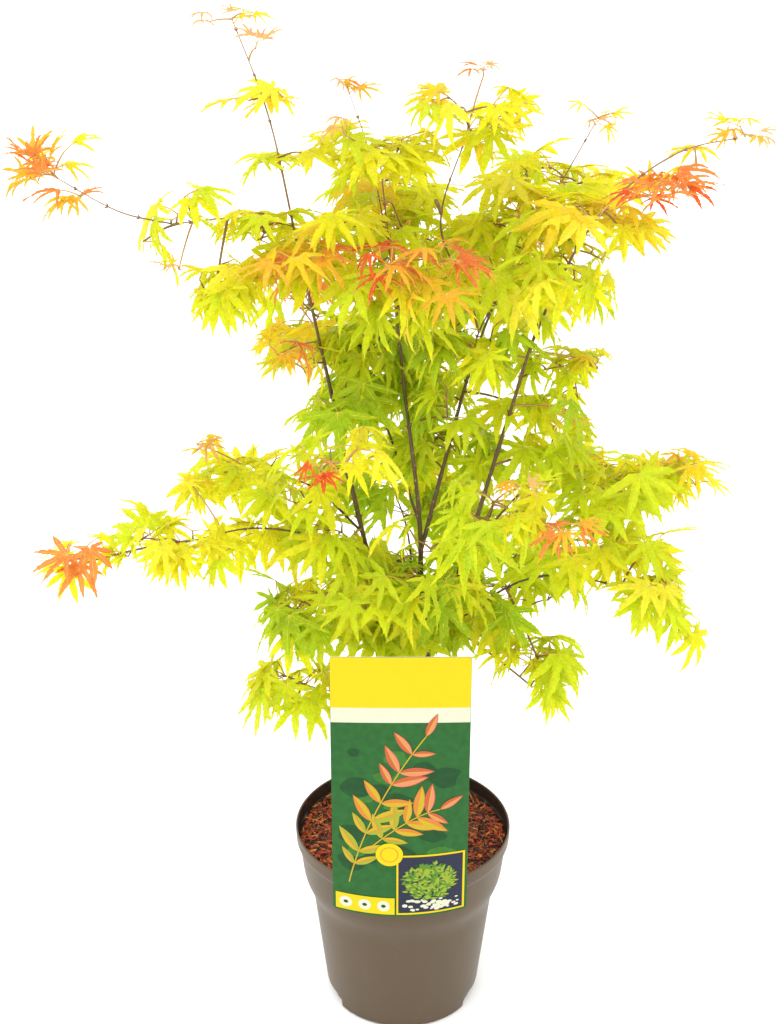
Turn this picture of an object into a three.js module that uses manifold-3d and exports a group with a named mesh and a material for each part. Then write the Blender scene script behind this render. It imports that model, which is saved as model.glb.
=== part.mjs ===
// Potted japanese maple: a young shrub of several stems, in a nursery pot with a hanging card.
// Millimetres, +Z up. The origin is the middle of the pot's flat underside, and -Y is the side
// with the card.
import * as THREE from 'three';
import { mergeVertices } from 'three/addons/utils/BufferGeometryUtils.js';
import Module from 'manifold-3d';

const wasm = await Module();
wasm.setup();

// Room left between pieces that touch.
const gap = 0.35;

const pot = {
  height: 175,
  rimRadius: 95,
  lipHeight: 13,
  lipStep: 3.2,
  collarFoot: 126,
  collarFootRadius: 87.8,
  bodyTop: 109,
  bodyTopRadius: 80.4,
  footRadius: 68,
  footRound: 5,
  wall: 1.8,
  floor: 3,
  innerFootRadius: 54,
  innerFootHeight: 15,
  sides: 36,
};

// Cut corners at the foot, which let water out: degrees from the front.
const notch = { angles: [72, 144, 216, 288], width: 42, height: 12, depth: 10, block: 24 };

const soilTop = 163;

// The card hangs on the rim by a tongue, is nearly flat at its top and bends towards the pot
// at its foot.
const card = {
  left: -60,
  right: 54,
  bottom: 144,
  top: 398,
  thickness: 0.8,
  bendTop: 1,
  bendBottom: 13,
  columns: 8,
  rows: 4,
  tongueWidth: 22,
  tongueInset: 4.2,
};

// Length of one straight step of a limb, and the sides of a thick and a thin one.
const limbMesh = { step: 54, thickFrom: 2, thickSides: 6, thinSides: 5 };

// Masses wider than this have the finer mesh.
const wideMass = 53;

// Woody limbs. A limb starts at a share of its parent's length, passes the via points and ends
// at its tip, or where it enters the mass of leaves named in into. Radii are at its two ends.
const limbs = {
  trunk: {
    start: [2, 4, soilTop + gap], via: [[10, 3, 235]], tip: [7, 0, 312],
    radii: [5.6, 4.4], flare: 1.9,
  },
  leader: {
    parent: 'trunk', share: 0.95,
    via: [[-29, 1, 438], [-58, 10, 578], [-84, 20, 703], [-105, 27, 805]],
    tip: [-133, 30, 884], radii: [3.2, 0.9], into: 'leader_tip',
  },
  centre_stem: {
    parent: 'trunk', share: 0.97, via: [[14, 0, 447], [-1, 2, 597]], tip: [-20, 8, 782],
    radii: [3.3, 1], into: 'centre_top_left',
  },
  right_stem: {
    parent: 'trunk', share: 0.93,
    via: [[38, -6, 399], [85, -20, 583], [103, -30, 653], [147, -22, 740], [203, -20, 787]],
    tip: [255, -20, 800], radii: [3.1, 1], into: 'right_tip',
  },
  right_centre_stem: {
    parent: 'centre_stem', share: 0.29, via: [[67, 40, 632], [108, 54, 712]], tip: [152, 70, 790],
    radii: [2.5, 0.9], into: 'top_right_tip',
  },
  centre_fork: {
    parent: 'right_centre_stem', share: 0.53, via: [[28, 12, 718]], tip: [48, 0, 802],
    radii: [1.7, 0.9], into: 'centre_top',
  },
  left_upper_bough: {
    parent: 'leader', share: 0.64, via: [[-118, 10, 724]], tip: [-180, 0, 726],
    radii: [1.5, 1], into: 'left_mid',
  },
  left_upper_end: {
    parent: 'left_upper_bough', share: 1, via: [[-215, -22, 742]], tip: [-262, -40, 776],
    radii: [1, 0.8], into: 'left_tip', from: 'left_mid',
  },
  left_low_bough: {
    parent: 'leader', share: 0.13, via: [[-60, -14, 456], [-118, -30, 480]], tip: [-182, -45, 473],
    radii: [1.9, 1.1], into: 'left_low',
  },
  left_back_bough: {
    parent: 'leader', share: 0.27, via: [[-78, 26, 492]], tip: [-138, 50, 494],
    radii: [1.6, 1], into: 'left_low_upper',
  },
  right_low_bough: {
    parent: 'right_stem', share: 0.12, via: [[110, -34, 438]], tip: [212, -50, 428],
    radii: [1.8, 1], into: 'right_low_far',
  },
  right_mid_bough: {
    parent: 'right_stem', share: 0.24, via: [[104, 22, 492]], tip: [178, 50, 494],
    radii: [1.6, 1], into: 'right_low_upper',
  },
  front_left_bough: {
    parent: 'leader', share: 0.3, via: [[-48, -62, 548]], tip: [-56, -125, 582],
    radii: [1.5, 0.9], into: 'front_left',
  },
  front_right_bough: {
    parent: 'right_stem', share: 0.23, via: [[66, -72, 510]], tip: [66, -130, 552],
    radii: [1.5, 0.9], into: 'front_right',
  },
  back_low_bough: {
    parent: 'centre_stem', share: 0.1, via: [[4, 60, 430]], tip: [-12, 125, 452],
    radii: [1.8, 1], into: 'back_low',
  },
  back_left_bough: {
    parent: 'centre_stem', share: 0.34, via: [[-28, 66, 560]], tip: [-78, 134, 592],
    radii: [1.7, 1], into: 'back_left',
  },
  back_right_bough: {
    parent: 'right_centre_stem', share: 0.3, via: [[62, 92, 600]], tip: [88, 150, 625],
    radii: [1.6, 1], into: 'back_right',
  },
  back_top_bough: {
    parent: 'centre_stem', share: 0.62, via: [[-8, 50, 685]], tip: [-8, 98, 722],
    radii: [1.5, 0.9], into: 'back_top',
  },
  top_shoot: {
    parent: 'centre_stem', share: 0.82, via: [[-28, 14, 780]], tip: [-43, 20, 824],
    radii: [1, 0.7], into: 'top_shoot_leaves',
  },
  lower_left_shoot: {
    parent: 'trunk', share: 0.8, via: [[-32, -14, 308]], tip: [-84, -34, 336],
    radii: [1.3, 0.9], into: 'lower_left_hang',
  },
};

// A mass of leaves sits at a share of its limb, moved by offset, with its half-sizes in spread;
// droop is how far its outer edge hangs for each millimetre outwards.
const leavesOn = (limb, share, offset, spread, droop) => ({ limb, share, offset, spread, droop });
const masses = {
  leader_tip: leavesOn('leader', 1, [4, 0, -16], [32, 26, 20], 0.1),
  leader_pair_upper: leavesOn('leader', 0.88, [-4, 0, -2], [42, 38, 11], 0.1),
  leader_pair_lower: leavesOn('leader', 0.8, [8, 0, -4], [54, 44, 13], 0.1),
  left_tip: leavesOn('left_upper_end', 1, [0, 0, 2], [34, 32, 26], -0.3),
  left_mid: leavesOn('left_upper_bough', 1, [0, 0, -6], [33, 34, 25], 0.3),
  left_upper: leavesOn('left_upper_bough', 0.45, [-2, 8, -10], [40, 40, 17], 0.2),
  upper_left: leavesOn('leader', 0.68, [2, -22, -4], [44, 42, 23], 0.3),
  left_spray: leavesOn('left_upper_bough', 0.6, [-12, -26, -42], [38, 34, 25], 0.4),
  left_inner: leavesOn('leader', 0.53, [-24, -14, -2], [42, 38, 16], 0.2),
  centre_top_left: leavesOn('centre_stem', 1, [-2, -6, -6], [50, 44, 20], 0.1),
  top_shoot_leaves: leavesOn('top_shoot', 1, [0, 0, 4], [22, 20, 17], 0.1),
  centre_top: leavesOn('centre_fork', 1, [0, 0, 4], [52, 48, 28], 0.1),
  centre_front: leavesOn('centre_stem', 0.8, [8, -48, -6], [56, 52, 23], 0.2),
  right_top: leavesOn('right_centre_stem', 0.84, [2, 2, -4], [66, 56, 24], 0.2),
  top_right_tip: leavesOn('right_centre_stem', 1, [0, 0, 2], [22, 22, 15], 0.1),
  right_upper: leavesOn('right_stem', 0.7, [10, -4, -6], [60, 52, 28], 0.3),
  right_side: leavesOn('right_stem', 0.88, [4, -12, -20], [38, 34, 20], 0.2),
  right_tip: leavesOn('right_stem', 1, [0, 0, -2], [28, 26, 15], -0.1),
  centre_mid_left: leavesOn('centre_stem', 0.64, [-30, 20, -2], [50, 42, 36], 0.2),
  centre_mid: leavesOn('right_stem', 0.6, [-46, -10, 0], [56, 48, 27], 0.1),
  right_mid: leavesOn('right_stem', 0.51, [44, 8, 2], [52, 48, 31], 0.3),
  left_low_upper: leavesOn('left_back_bough', 1, [-2, 0, -2], [62, 50, 16], 0.1),
  left_low: leavesOn('left_low_bough', 1, [0, 0, -2], [66, 46, 15], 0.1),
  left_low_tip: leavesOn('left_low_bough', 1, [-78, -14, -6], [32, 30, 14], 0.1),
  lower_left: leavesOn('leader', 0.17, [-56, -20, 0], [62, 52, 33], 0.3),
  lower_left_hang: leavesOn('lower_left_shoot', 1, [-8, -4, -2], [40, 36, 23], 0.3),
  lower_centre: leavesOn('centre_stem', 0.26, [-6, -46, 2], [62, 46, 26], 0),
  lower_right: leavesOn('right_stem', 0.17, [50, -4, 2], [70, 58, 33], 0.2),
  right_low_upper: leavesOn('right_mid_bough', 1, [-4, 0, -2], [76, 52, 23], 0),
  right_low_far: leavesOn('right_low_bough', 1, [2, 0, -2], [52, 46, 31], 0.4),
  lower_right_hang: leavesOn('right_stem', 0.12, [76, -38, -22], [32, 30, 25], 0.2),
  front_left: leavesOn('front_left_bough', 1, [0, 0, -2], [44, 36, 20], 0.2),
  front_right: leavesOn('front_right_bough', 1, [12, 0, -10], [56, 42, 25], 0.2),
  back_low: leavesOn('back_low_bough', 1, [0, 0, -2], [72, 52, 26], 0.2),
  back_left: leavesOn('back_left_bough', 1, [0, 0, -2], [66, 54, 29], 0.2),
  back_right: leavesOn('back_right_bough', 1, [0, 0, -2], [66, 56, 31], 0.2),
  back_top: leavesOn('back_top_bough', 1, [0, 0, -2], [60, 48, 26], 0.1),
};

const finishes = {
  pot: { color: 0x7d7062, roughness: 0.55, metalness: 0 },
  soil: { color: 0x4a2b1c, roughness: 0.95, metalness: 0 },
  card: { color: 0x3f8a45, roughness: 0.35, metalness: 0 },
  bark: { color: 0x8a5a35, roughness: 0.8, metalness: 0 },
  lime: { color: 0xc6d92b, roughness: 0.6, metalness: 0 },
  green: { color: 0x93b928, roughness: 0.6, metalness: 0 },
  orange: { color: 0xee8a3c, roughness: 0.6, metalness: 0 },
};
const orangeMasses = ['left_tip', 'upper_left', 'centre_front', 'right_side', 'right_tip', 'leader_tip'];
const greenMasses = ['lower_centre', 'lower_right', 'centre_mid_left', 'lower_left_hang', 'back_low'];

// A closed mesh's solid, and a solid's mesh geometry.
function toSolid(geometry) {
  const bare = geometry.clone();
  bare.deleteAttribute('normal');
  bare.deleteAttribute('uv');
  const merged = mergeVertices(bare, 1e-3);
  return new wasm.Manifold(new wasm.Mesh({
    numProp: 3,
    vertProperties: new Float32Array(merged.attributes.position.array),
    triVerts: new Uint32Array(merged.index.array),
  }));
}

function toGeometry(solid) {
  const mesh = solid.getMesh();
  const geometry = new THREE.BufferGeometry();
  geometry.setAttribute('position', new THREE.BufferAttribute(mesh.vertProperties, 3));
  geometry.setIndex(new THREE.BufferAttribute(mesh.triVerts, 1));
  geometry.computeVertexNormals();
  return geometry;
}

// The largest of the bodies that a cut leaves.
function mainBody(solid) {
  return solid.decompose().reduce((best, body) => (body.volume() > best.volume() ? body : best));
}

function boxesMeet(a, b) {
  const first = a.boundingBox();
  const second = b.boundingBox();
  return [0, 1, 2].every((i) => first.min[i] < second.max[i] && second.min[i] < first.max[i]);
}

function cutBy(solid, others) {
  let rest = solid;
  for (const other of others) {
    if (boxesMeet(rest, other)) rest = rest.subtract(other);
  }
  return mainBody(rest);
}

// Turns a profile of [radius, height] points round the Z axis.
function turned(profile) {
  const points = profile.map(([radius, height]) => new THREE.Vector2(radius, height));
  return new THREE.LatheGeometry(points, pot.sides).rotateX(Math.PI / 2);
}

// The inside of the pot, from its floor to the rim, pulled in by a clearance.
function innerProfile(clearance) {
  const side = pot.wall + clearance;
  const lipFoot = pot.height - pot.lipHeight;
  const footWall = pot.footRadius
    + (pot.bodyTopRadius - pot.footRadius) * (pot.innerFootHeight / pot.bodyTop);
  return [
    [0, pot.floor + clearance],
    [pot.innerFootRadius - clearance, pot.floor + clearance],
    [footWall - side, pot.innerFootHeight],
    [pot.bodyTopRadius - side, pot.bodyTop],
    [pot.collarFootRadius - side, pot.collarFoot],
    [pot.rimRadius - pot.lipStep - side, lipFoot - pot.lipStep],
    [pot.rimRadius - side, lipFoot],
  ];
}

function potSolid() {
  const lipFoot = pot.height - pot.lipHeight;
  const round = pot.footRound;
  const outer = [
    [0, 0],
    [pot.footRadius - round, 0],
    [pot.footRadius - 0.3 * round, 0.3 * round],
    [pot.footRadius, round],
    [pot.bodyTopRadius, pot.bodyTop],
    [pot.collarFootRadius, pot.collarFoot],
    [pot.rimRadius - pot.lipStep, lipFoot - pot.lipStep],
    [pot.rimRadius, lipFoot],
    [pot.rimRadius, pot.height],
    [pot.rimRadius - pot.wall, pot.height],
  ];
  const shell = toSolid(turned([...outer, ...innerProfile(0).reverse()]));
  const slope = Math.atan2(notch.height, notch.depth);
  const blocks = notch.angles.map((degrees) => {
    const block = new THREE.BoxGeometry(notch.width, notch.block, notch.block);
    block.translate(0, -notch.block / 2, 0);
    block.rotateX(Math.PI / 2 - slope);
    block.translate(0, -(pot.footRadius - notch.depth / 2), notch.height / 2);
    block.rotateZ(THREE.MathUtils.degToRad(degrees));
    return toSolid(block);
  });
  return cutBy(shell, blocks);
}

function soilSolid() {
  const below = innerProfile(gap).filter(([, height]) => height < soilTop);
  const edge = below[below.length - 1][0];
  return toSolid(turned([...below, [edge, soilTop], [0, soilTop]]));
}

// The card, a thin sheet bent about a vertical line, more at its foot than at its top.
function cardSolid() {
  const width = card.right - card.left;
  const height = card.top - card.bottom;
  const sheet = new THREE.BoxGeometry(width, card.thickness, height, card.columns, 1, card.rows);
  const spots = sheet.attributes.position;
  const back = -(pot.rimRadius + gap);
  for (let i = 0; i < spots.count; i += 1) {
    const across = spots.getX(i) / (width / 2);
    const up = spots.getZ(i) / height + 0.5;
    const bend = THREE.MathUtils.lerp(card.bendBottom, card.bendTop, Math.min(1, up * 1.3));
    spots.setY(i, spots.getY(i) - card.thickness / 2 + bend * across * across);
  }
  sheet.translate((card.left + card.right) / 2, back, (card.bottom + card.top) / 2);
  const over = new THREE.BoxGeometry(card.tongueWidth, card.tongueInset + card.thickness, card.thickness);
  const overMiddle = back + (card.tongueInset - card.thickness) / 2;
  over.translate(0, overMiddle, pot.height + gap + card.thickness / 2);
  const drop = pot.height + gap + card.thickness - soilTop - gap;
  const down = new THREE.BoxGeometry(card.tongueWidth, card.thickness, drop);
  down.translate(0, back + card.tongueInset - card.thickness / 2, soilTop + gap + drop / 2);
  return toSolid(sheet).add(toSolid(over)).add(toSolid(down));
}

// A limb's centreline, from its place on its parent to its tip.
const paths = {};
function limbPath(name) {
  if (!paths[name]) {
    const limb = limbs[name];
    const points = [...limb.via, limb.tip].map((point) => new THREE.Vector3(...point));
    if (limb.parent) points.unshift(limbPath(limb.parent).getPointAt(limb.share));
    else points.unshift(new THREE.Vector3(...limb.start));
    paths[name] = new THREE.CatmullRomCurve3(points, false, 'centripetal');
  }
  return paths[name];
}

// A tapered round bar bent along the limb's centreline, made thicker by a margin.
function limbSolid(name, margin = 0) {
  const limb = limbs[name];
  const path = limbPath(name);
  const length = path.getLength();
  const steps = Math.max(3, Math.round(length / limbMesh.step));
  const sides = limb.radii[0] > limbMesh.thickFrom ? limbMesh.thickSides : limbMesh.thinSides;
  const bar = new THREE.CylinderGeometry(limb.radii[1], limb.radii[0], length, sides, steps);
  const frames = path.computeFrenetFrames(steps);
  const spots = bar.attributes.position;
  for (let i = 0; i < spots.count; i += 1) {
    const step = Math.round((spots.getY(i) / length + 0.5) * steps);
    const share = step / steps;
    const flare = 1 + ((limb.flare ?? 1) - 1) * (1 - share) ** 4;
    const radius = THREE.MathUtils.lerp(limb.radii[0], limb.radii[1], share);
    const grow = flare * (radius + margin) / radius;
    const place = path.getPointAt(share)
      .addScaledVector(frames.normals[step], spots.getX(i) * grow)
      .addScaledVector(frames.binormals[step], -spots.getZ(i) * grow);
    spots.setXYZ(i, place.x, place.y, limb.flare && step === 0 ? path.getPointAt(0).z : place.z);
  }
  return toSolid(bar);
}

// A mass of leaves: a flattened ball with an uneven, lobed surface whose outer side hangs.
function massSolid(name, margin = 0) {
  const mass = masses[name];
  const seed = Object.keys(masses).indexOf(name);
  const middle = limbPath(mass.limb).getPointAt(mass.share).add(new THREE.Vector3(...mass.offset));
  const outwards = new THREE.Vector3(middle.x, middle.y, 0).normalize();
  const detail = mass.spread[0] > wideMass ? 2 : 1;
  const ball = new THREE.IcosahedronGeometry(1, detail);
  const spots = ball.attributes.position;
  for (let i = 0; i < spots.count; i += 1) {
    const direction = new THREE.Vector3().fromBufferAttribute(spots, i);
    const around = Math.atan2(direction.y, direction.x);
    const lobes = 0.1 * Math.sin(3 * around + seed * 1.7) + 0.07 * Math.sin(5 * around + seed * 2.3);
    const waves = 0.08 * Math.sin(4 * direction.z + seed + 2 * around);
    const reach = 0.94 + lobes * (1 - direction.z ** 2) + waves;
    const [x, y, z] = ['x', 'y', 'z'].map((axis, j) => direction[axis] * (mass.spread[j] * reach + margin));
    const hang = mass.droop * (x * outwards.x + y * outwards.y);
    spots.setXYZ(i, middle.x + x, middle.y + y, middle.z + z - hang);
  }
  return toSolid(ball);
}

const maple = new THREE.Group();

function addPiece(name, solid, finish) {
  const mesh = new THREE.Mesh(toGeometry(solid), new THREE.MeshStandardMaterial(finishes[finish]));
  mesh.name = name;
  maple.add(mesh);
}

addPiece('pot', potSolid(), 'pot');
addPiece('soil', soilSolid(), 'soil');
addPiece('card', cardSolid(), 'card');

// Each limb is cut clear of the limbs before it and ends at the leaves that it enters.
const limbNames = Object.keys(limbs);
limbNames.forEach((name, order) => {
  const { into, from } = limbs[name];
  const before = limbNames.slice(0, order).map((other) => limbSolid(other, gap));
  const leaves = [into, from].filter(Boolean).map((mass) => massSolid(mass, gap));
  addPiece(name, cutBy(limbSolid(name), [...before, ...leaves]), 'bark');
});

// Each mass is cut round the limbs that pass through it and clear of the masses before it.
const massNames = Object.keys(masses);
massNames.forEach((name, order) => {
  const passing = limbNames.filter((limb) => limbs[limb].into !== name && limbs[limb].from !== name);
  const others = [
    ...passing.map((limb) => limbSolid(limb, gap)),
    ...massNames.slice(0, order).map((mass) => massSolid(mass, gap)),
  ];
  let finish = 'lime';
  if (orangeMasses.includes(name)) finish = 'orange';
  if (greenMasses.includes(name)) finish = 'green';
  addPiece(`leaves_${name}`, cutBy(massSolid(name), others), finish);
});

export default maple;
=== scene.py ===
import math

import bpy
import numpy as np
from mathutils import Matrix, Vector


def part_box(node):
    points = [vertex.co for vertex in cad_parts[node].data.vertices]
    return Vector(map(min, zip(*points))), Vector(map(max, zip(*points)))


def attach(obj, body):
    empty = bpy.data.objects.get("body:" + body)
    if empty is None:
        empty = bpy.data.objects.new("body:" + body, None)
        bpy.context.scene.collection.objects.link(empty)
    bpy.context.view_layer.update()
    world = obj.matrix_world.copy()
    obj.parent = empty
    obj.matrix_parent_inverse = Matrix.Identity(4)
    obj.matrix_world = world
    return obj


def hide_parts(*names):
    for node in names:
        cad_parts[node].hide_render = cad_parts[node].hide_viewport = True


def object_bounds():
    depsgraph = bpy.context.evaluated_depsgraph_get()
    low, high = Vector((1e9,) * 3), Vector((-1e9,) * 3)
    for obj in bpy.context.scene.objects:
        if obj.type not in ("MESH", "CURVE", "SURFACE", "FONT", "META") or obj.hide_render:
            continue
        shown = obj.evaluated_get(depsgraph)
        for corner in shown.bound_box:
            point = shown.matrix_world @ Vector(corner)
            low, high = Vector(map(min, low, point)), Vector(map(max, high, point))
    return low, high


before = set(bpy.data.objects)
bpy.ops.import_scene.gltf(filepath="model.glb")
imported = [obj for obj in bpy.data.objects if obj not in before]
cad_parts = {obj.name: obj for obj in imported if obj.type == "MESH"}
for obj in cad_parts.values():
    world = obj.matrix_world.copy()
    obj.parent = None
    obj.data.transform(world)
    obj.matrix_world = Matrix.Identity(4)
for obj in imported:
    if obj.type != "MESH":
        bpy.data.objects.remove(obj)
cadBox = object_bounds()
scene = bpy.context.scene
mm = 0.001
fullTurn = 2 * math.pi
goldenAngle = math.radians(137.508)
up = np.array([0.0, 0.0, 1.0])
toViewer = np.array([0.0, -1.0, 0.0])  # the side with the card


def unit(v):
    return v / max(np.linalg.norm(v), 1e-9)


def around(count):
    return np.arange(count) * fullTurn / count


def polar(radius, turn):
    return radius * math.cos(turn), radius * math.sin(turn)


def bow(start, middle, end, share):
    # a place on the curve from start to end that is drawn towards the middle
    return (1 - share) ** 2 * start + 2 * share * (1 - share) * middle + share ** 2 * end


def arc(start, end, rise, count, bend=(0, 0, 0)):
    # points along a bow from start to end, lifted by rise in the middle
    middle = (start + end) / 2 + up * rise + np.asarray(bend)
    return bow(start, middle, end, np.linspace(0, 1, count)[:, None])


def srgb(red, green, blue):
    # a colour as picked on screen, 0 to 255, as the linear values that shaders take
    channels = [c / 255 for c in (red, green, blue)]
    return tuple(c / 12.92 if c <= 0.04045 else ((c + 0.055) / 1.055) ** 2.4 for c in channels) + (1.0,)


def addObject(name, data):
    piece = bpy.data.objects.new(name, data)
    scene.collection.objects.link(piece)
    return piece


def addPiece(name, mesh, replaced):
    piece = addObject(name, mesh)
    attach(piece, "root")
    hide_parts(*replaced)


def addShell(name, places, faces, materials, kinds, sharpAngle, node):
    # a smooth shell with sharp edges above an angle, and the number of each face's material
    mesh = bpy.data.meshes.new(name)
    mesh.from_pydata((np.array(places) * mm).tolist(), [], faces)
    mesh.polygons.foreach_set("use_smooth", [True] * len(faces))
    mesh.set_sharp_from_angle(angle=math.radians(sharpAngle))
    for material in materials:
        mesh.materials.append(material)
    mesh.polygons.foreach_set("material_index", kinds)
    addPiece(name, mesh, [node])


class Heap:
    # vertices, faces and leaf coordinates of many small things, joined into one mesh

    def __init__(self):
        self.places, self.faces, self.spots, self.total = [], [], [], 0

    def add(self, places, faces, spots=None):
        used, renamed = np.unique(np.asarray(faces, int), return_inverse=True)
        places = np.asarray(places, float)[used]
        self.faces.append(renamed.reshape(np.shape(faces)) + self.total)
        self.places.append(places)
        self.spots.append(np.zeros((len(places), 2)) if spots is None else np.asarray(spots, float)[used])
        self.total += len(places)

    def build(self, name, material, slot, replaced, smooth=True):
        mesh = bpy.data.meshes.new(name)
        faces = [face for block in self.faces for face in block.tolist()]
        mesh.from_pydata(np.concatenate(self.places).tolist(), [], faces)
        loops = np.empty(len(mesh.loops), int)
        mesh.loops.foreach_get("vertex_index", loops)
        spots = np.concatenate(self.spots)[loops].astype(np.float32)
        mesh.uv_layers.new(name="leafSpot").data.foreach_set("uv", spots.ravel())
        mesh.polygons.foreach_set("use_smooth", [smooth] * len(mesh.polygons))
        mesh.materials.append(material)
        mesh.update()
        addPiece(name, mesh, replaced)


def tube(centres, radii, sides, relief=None):
    # a closed round bar along a line of points, with a radius at each
    centres = np.asarray(centres, float)
    tangents = np.gradient(centres, axis=0)
    tangents /= np.linalg.norm(tangents, axis=1)[:, None]
    across = unit(np.cross(tangents[0], [0.31, 0.89, 0.33]))
    angles = around(sides)
    rings = []
    for i, tangent in enumerate(tangents):
        across = unit(across - tangent * (across @ tangent))
        other = np.cross(tangent, across)
        radius = np.full(sides, radii[i]) if relief is None else radii[i] * relief[i]
        rings.append(centres[i] + np.outer(np.cos(angles) * radius, across)
                     + np.outer(np.sin(angles) * radius, other))
    last = (len(centres) - 1) * sides
    faces = []
    for a in range(0, last, sides):
        b = a + sides
        for j in range(sides):
            k = (j + 1) % sides
            faces += [(a + j, a + k, b + k), (a + j, b + k, b + j)]
    for j in range(1, sides - 1):
        faces += [(0, j + 1, j), (last, last + j, last + j + 1)]
    return np.concatenate(rings), faces


def bandFaces(a, b, count):
    # triangles between two rings of count places, which start at a and at b
    faces = []
    for j in range(count):
        k = (j + 1) % count
        faces += [(a + j, b + j, b + k), (a + j, b + k, a + k)]
    return faces


def discFaces(rings, count):
    # a fan round place 0 and the bands outside it, on rings of count places
    faces = [(0, 1 + j, 1 + (j + 1) % count) for j in range(count)]
    for a in range(1, 1 + (rings - 1) * count, count):
        faces += bandFaces(a, a + count, count)
    return faces


def feed(tree, socket, value):
    # links a source to a socket, or sets a constant on it
    if isinstance(value, bpy.types.NodeSocket):
        tree.links.new(value, socket)
    else:
        socket.default_value = value


def addNode(tree, kind, *sources, **settings):
    # sources go to the first inputs in turn; a setting is the node's own or an input's
    node = tree.nodes.new("ShaderNode" + kind)
    for key, value in settings.items():
        if hasattr(node, key):
            setattr(node, key, value)
        else:
            feed(tree, node.inputs[key], value)
    for socket, value in zip(node.inputs, sources):
        feed(tree, socket, value)
    return node


def maths(tree, operation, *sources, **settings):
    return addNode(tree, "Math", *sources, operation=operation, **settings).outputs[0]


def newGroup(name, inputs, outputs):
    group = bpy.data.node_groups.new(name, "ShaderNodeTree")
    sockets = [("INPUT", label, value) for label, value in inputs.items()]
    for way, label, value in sockets + [("OUTPUT", label, None) for label in outputs]:
        kind = "NodeSocketColor" if label == "Colour" else "NodeSocketFloat"
        socket = group.interface.new_socket(label, in_out=way, socket_type=kind)
        if value is not None:
            socket.default_value = value
    return group, group.nodes.new("NodeGroupInput").outputs, group.nodes.new("NodeGroupOutput").inputs


def scaledPlace(tree, scale, stretch=(1, 1, 1)):
    # object coordinates times a scale, squeezed along some axes
    where = addNode(tree, "TexCoord").outputs["Object"]
    squeezed = addNode(tree, "VectorMath", where, stretch, operation="MULTIPLY").outputs[0]
    return addNode(tree, "VectorMath", squeezed, operation="SCALE", Scale=scale).outputs[0]


def buildMottle():
    # a colour that drifts a little in hue and brightness over the surface
    group, source, result = newGroup(
        "mottledColour", {"Colour": (1, 1, 1, 1), "Scale": 40.0, "Hue Drift": 0.02, "Light Drift": 0.2},
        ["Colour"])
    vector = scaledPlace(group, source["Scale"])
    drifted = []
    for label, scale, detail, base in (("Hue Drift", 1.0, 3.0, 0.5), ("Light Drift", 5.3, 2.0, 1.0)):
        noise = addNode(group, "TexNoise", vector, Scale=scale, Detail=detail)
        centred = maths(group, "SUBTRACT", noise.outputs["Fac"], 0.5)
        drifted.append(maths(group, "MULTIPLY_ADD", centred, source[label], base))
    change = addNode(group, "HueSaturation", Hue=drifted[0], Value=drifted[1], Color=source["Colour"])
    feed(group, result["Colour"], change.outputs[0])
    return group


def buildGrain():
    # fine pits and soft waves for a bump, and a mask of rubbed or dusty places
    group, source, result = newGroup("fineGrain", {"Scale": 400.0, "Dust Level": 0.6}, ["Height", "Dust"])
    vector = scaledPlace(group, source["Scale"])
    pits, waves, patches = [
        addNode(group, "TexNoise", vector, Scale=scale, Detail=detail, Roughness=roughness).outputs["Fac"]
        for scale, detail, roughness in ((1.0, 4.0, 0.5), (0.06, 1.0, 0.5), (0.09, 5.0, 0.7))]
    feed(group, result["Height"], maths(group, "MULTIPLY_ADD", pits, 0.3, waves))
    cut = maths(group, "SUBTRACT", patches, source["Dust Level"], use_clamp=True)
    feed(group, result["Dust"], maths(group, "MULTIPLY", cut, 4.0, use_clamp=True))
    return group


def buildLeafVeins():
    # side veins that run from the midrib to the margin, from the leaf's own coordinates
    group, source, result = newGroup("leafVeins", {"Count": 11.0, "Slant": 3.0}, ["Height", "Vein"])
    spot = addNode(group, "SeparateXYZ", addNode(group, "UVMap", uv_map="leafSpot").outputs[0]).outputs
    away = maths(group, "ABSOLUTE", maths(group, "SUBTRACT", spot["X"], 0.5))
    along = maths(group, "MULTIPLY", spot["Y"], source["Count"])
    phase = maths(group, "SUBTRACT", along, maths(group, "MULTIPLY", away, source["Slant"]))
    saw = maths(group, "PINGPONG", phase, 0.5)
    feed(group, result["Height"], saw)
    feed(group, result["Vein"], addNode(group, "MapRange", saw, 0.0, 0.14, 1.0, 0.0).outputs[0])
    return group


def buildBark():
    # lengthwise streaks with pale breathing pores
    group, source, result = newGroup("youngBark", {"Scale": 260.0}, ["Height", "Streak", "Pore"])
    lengthwise, rounded = [scaledPlace(group, source["Scale"], (1, 1, z)) for z in (0.16, 0.6)]
    streak = addNode(group, "TexNoise", lengthwise, Scale=1.6, Detail=4.0).outputs["Fac"]
    pores = addNode(group, "TexVoronoi", rounded, Scale=1.1).outputs["Distance"]
    dot = addNode(group, "MapRange", pores, 0.12, 0.24, 1.0, 0.0).outputs[0]
    for label, value in (("Height", maths(group, "ADD", streak, dot)), ("Streak", streak), ("Pore", dot)):
        feed(group, result[label], value)
    return group


mottle, grain, leafVeins, youngBark = buildMottle(), buildGrain(), buildLeafVeins(), buildBark()
print("stage: node groups built")


def newMaterial(name, roughness, specular=0.5):
    material = bpy.data.materials.new(name)
    material.use_nodes = True
    tree = material.node_tree
    shader = tree.nodes["Principled BSDF"]
    shader.inputs["Roughness"].default_value = roughness
    shader.inputs["Specular IOR Level"].default_value = specular
    return material, tree, shader


def groupNode(tree, group, **values):
    node = tree.nodes.new("ShaderNodeGroup")
    node.node_tree = group
    for label, value in values.items():
        node.inputs[label.replace("_", " ")].default_value = value
    return node.outputs


def mottled(tree, colour, scale, hueDrift, lightDrift):
    return groupNode(tree, mottle, Colour=colour, Scale=scale, Hue_Drift=hueDrift, Light_Drift=lightDrift)[0]


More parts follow.
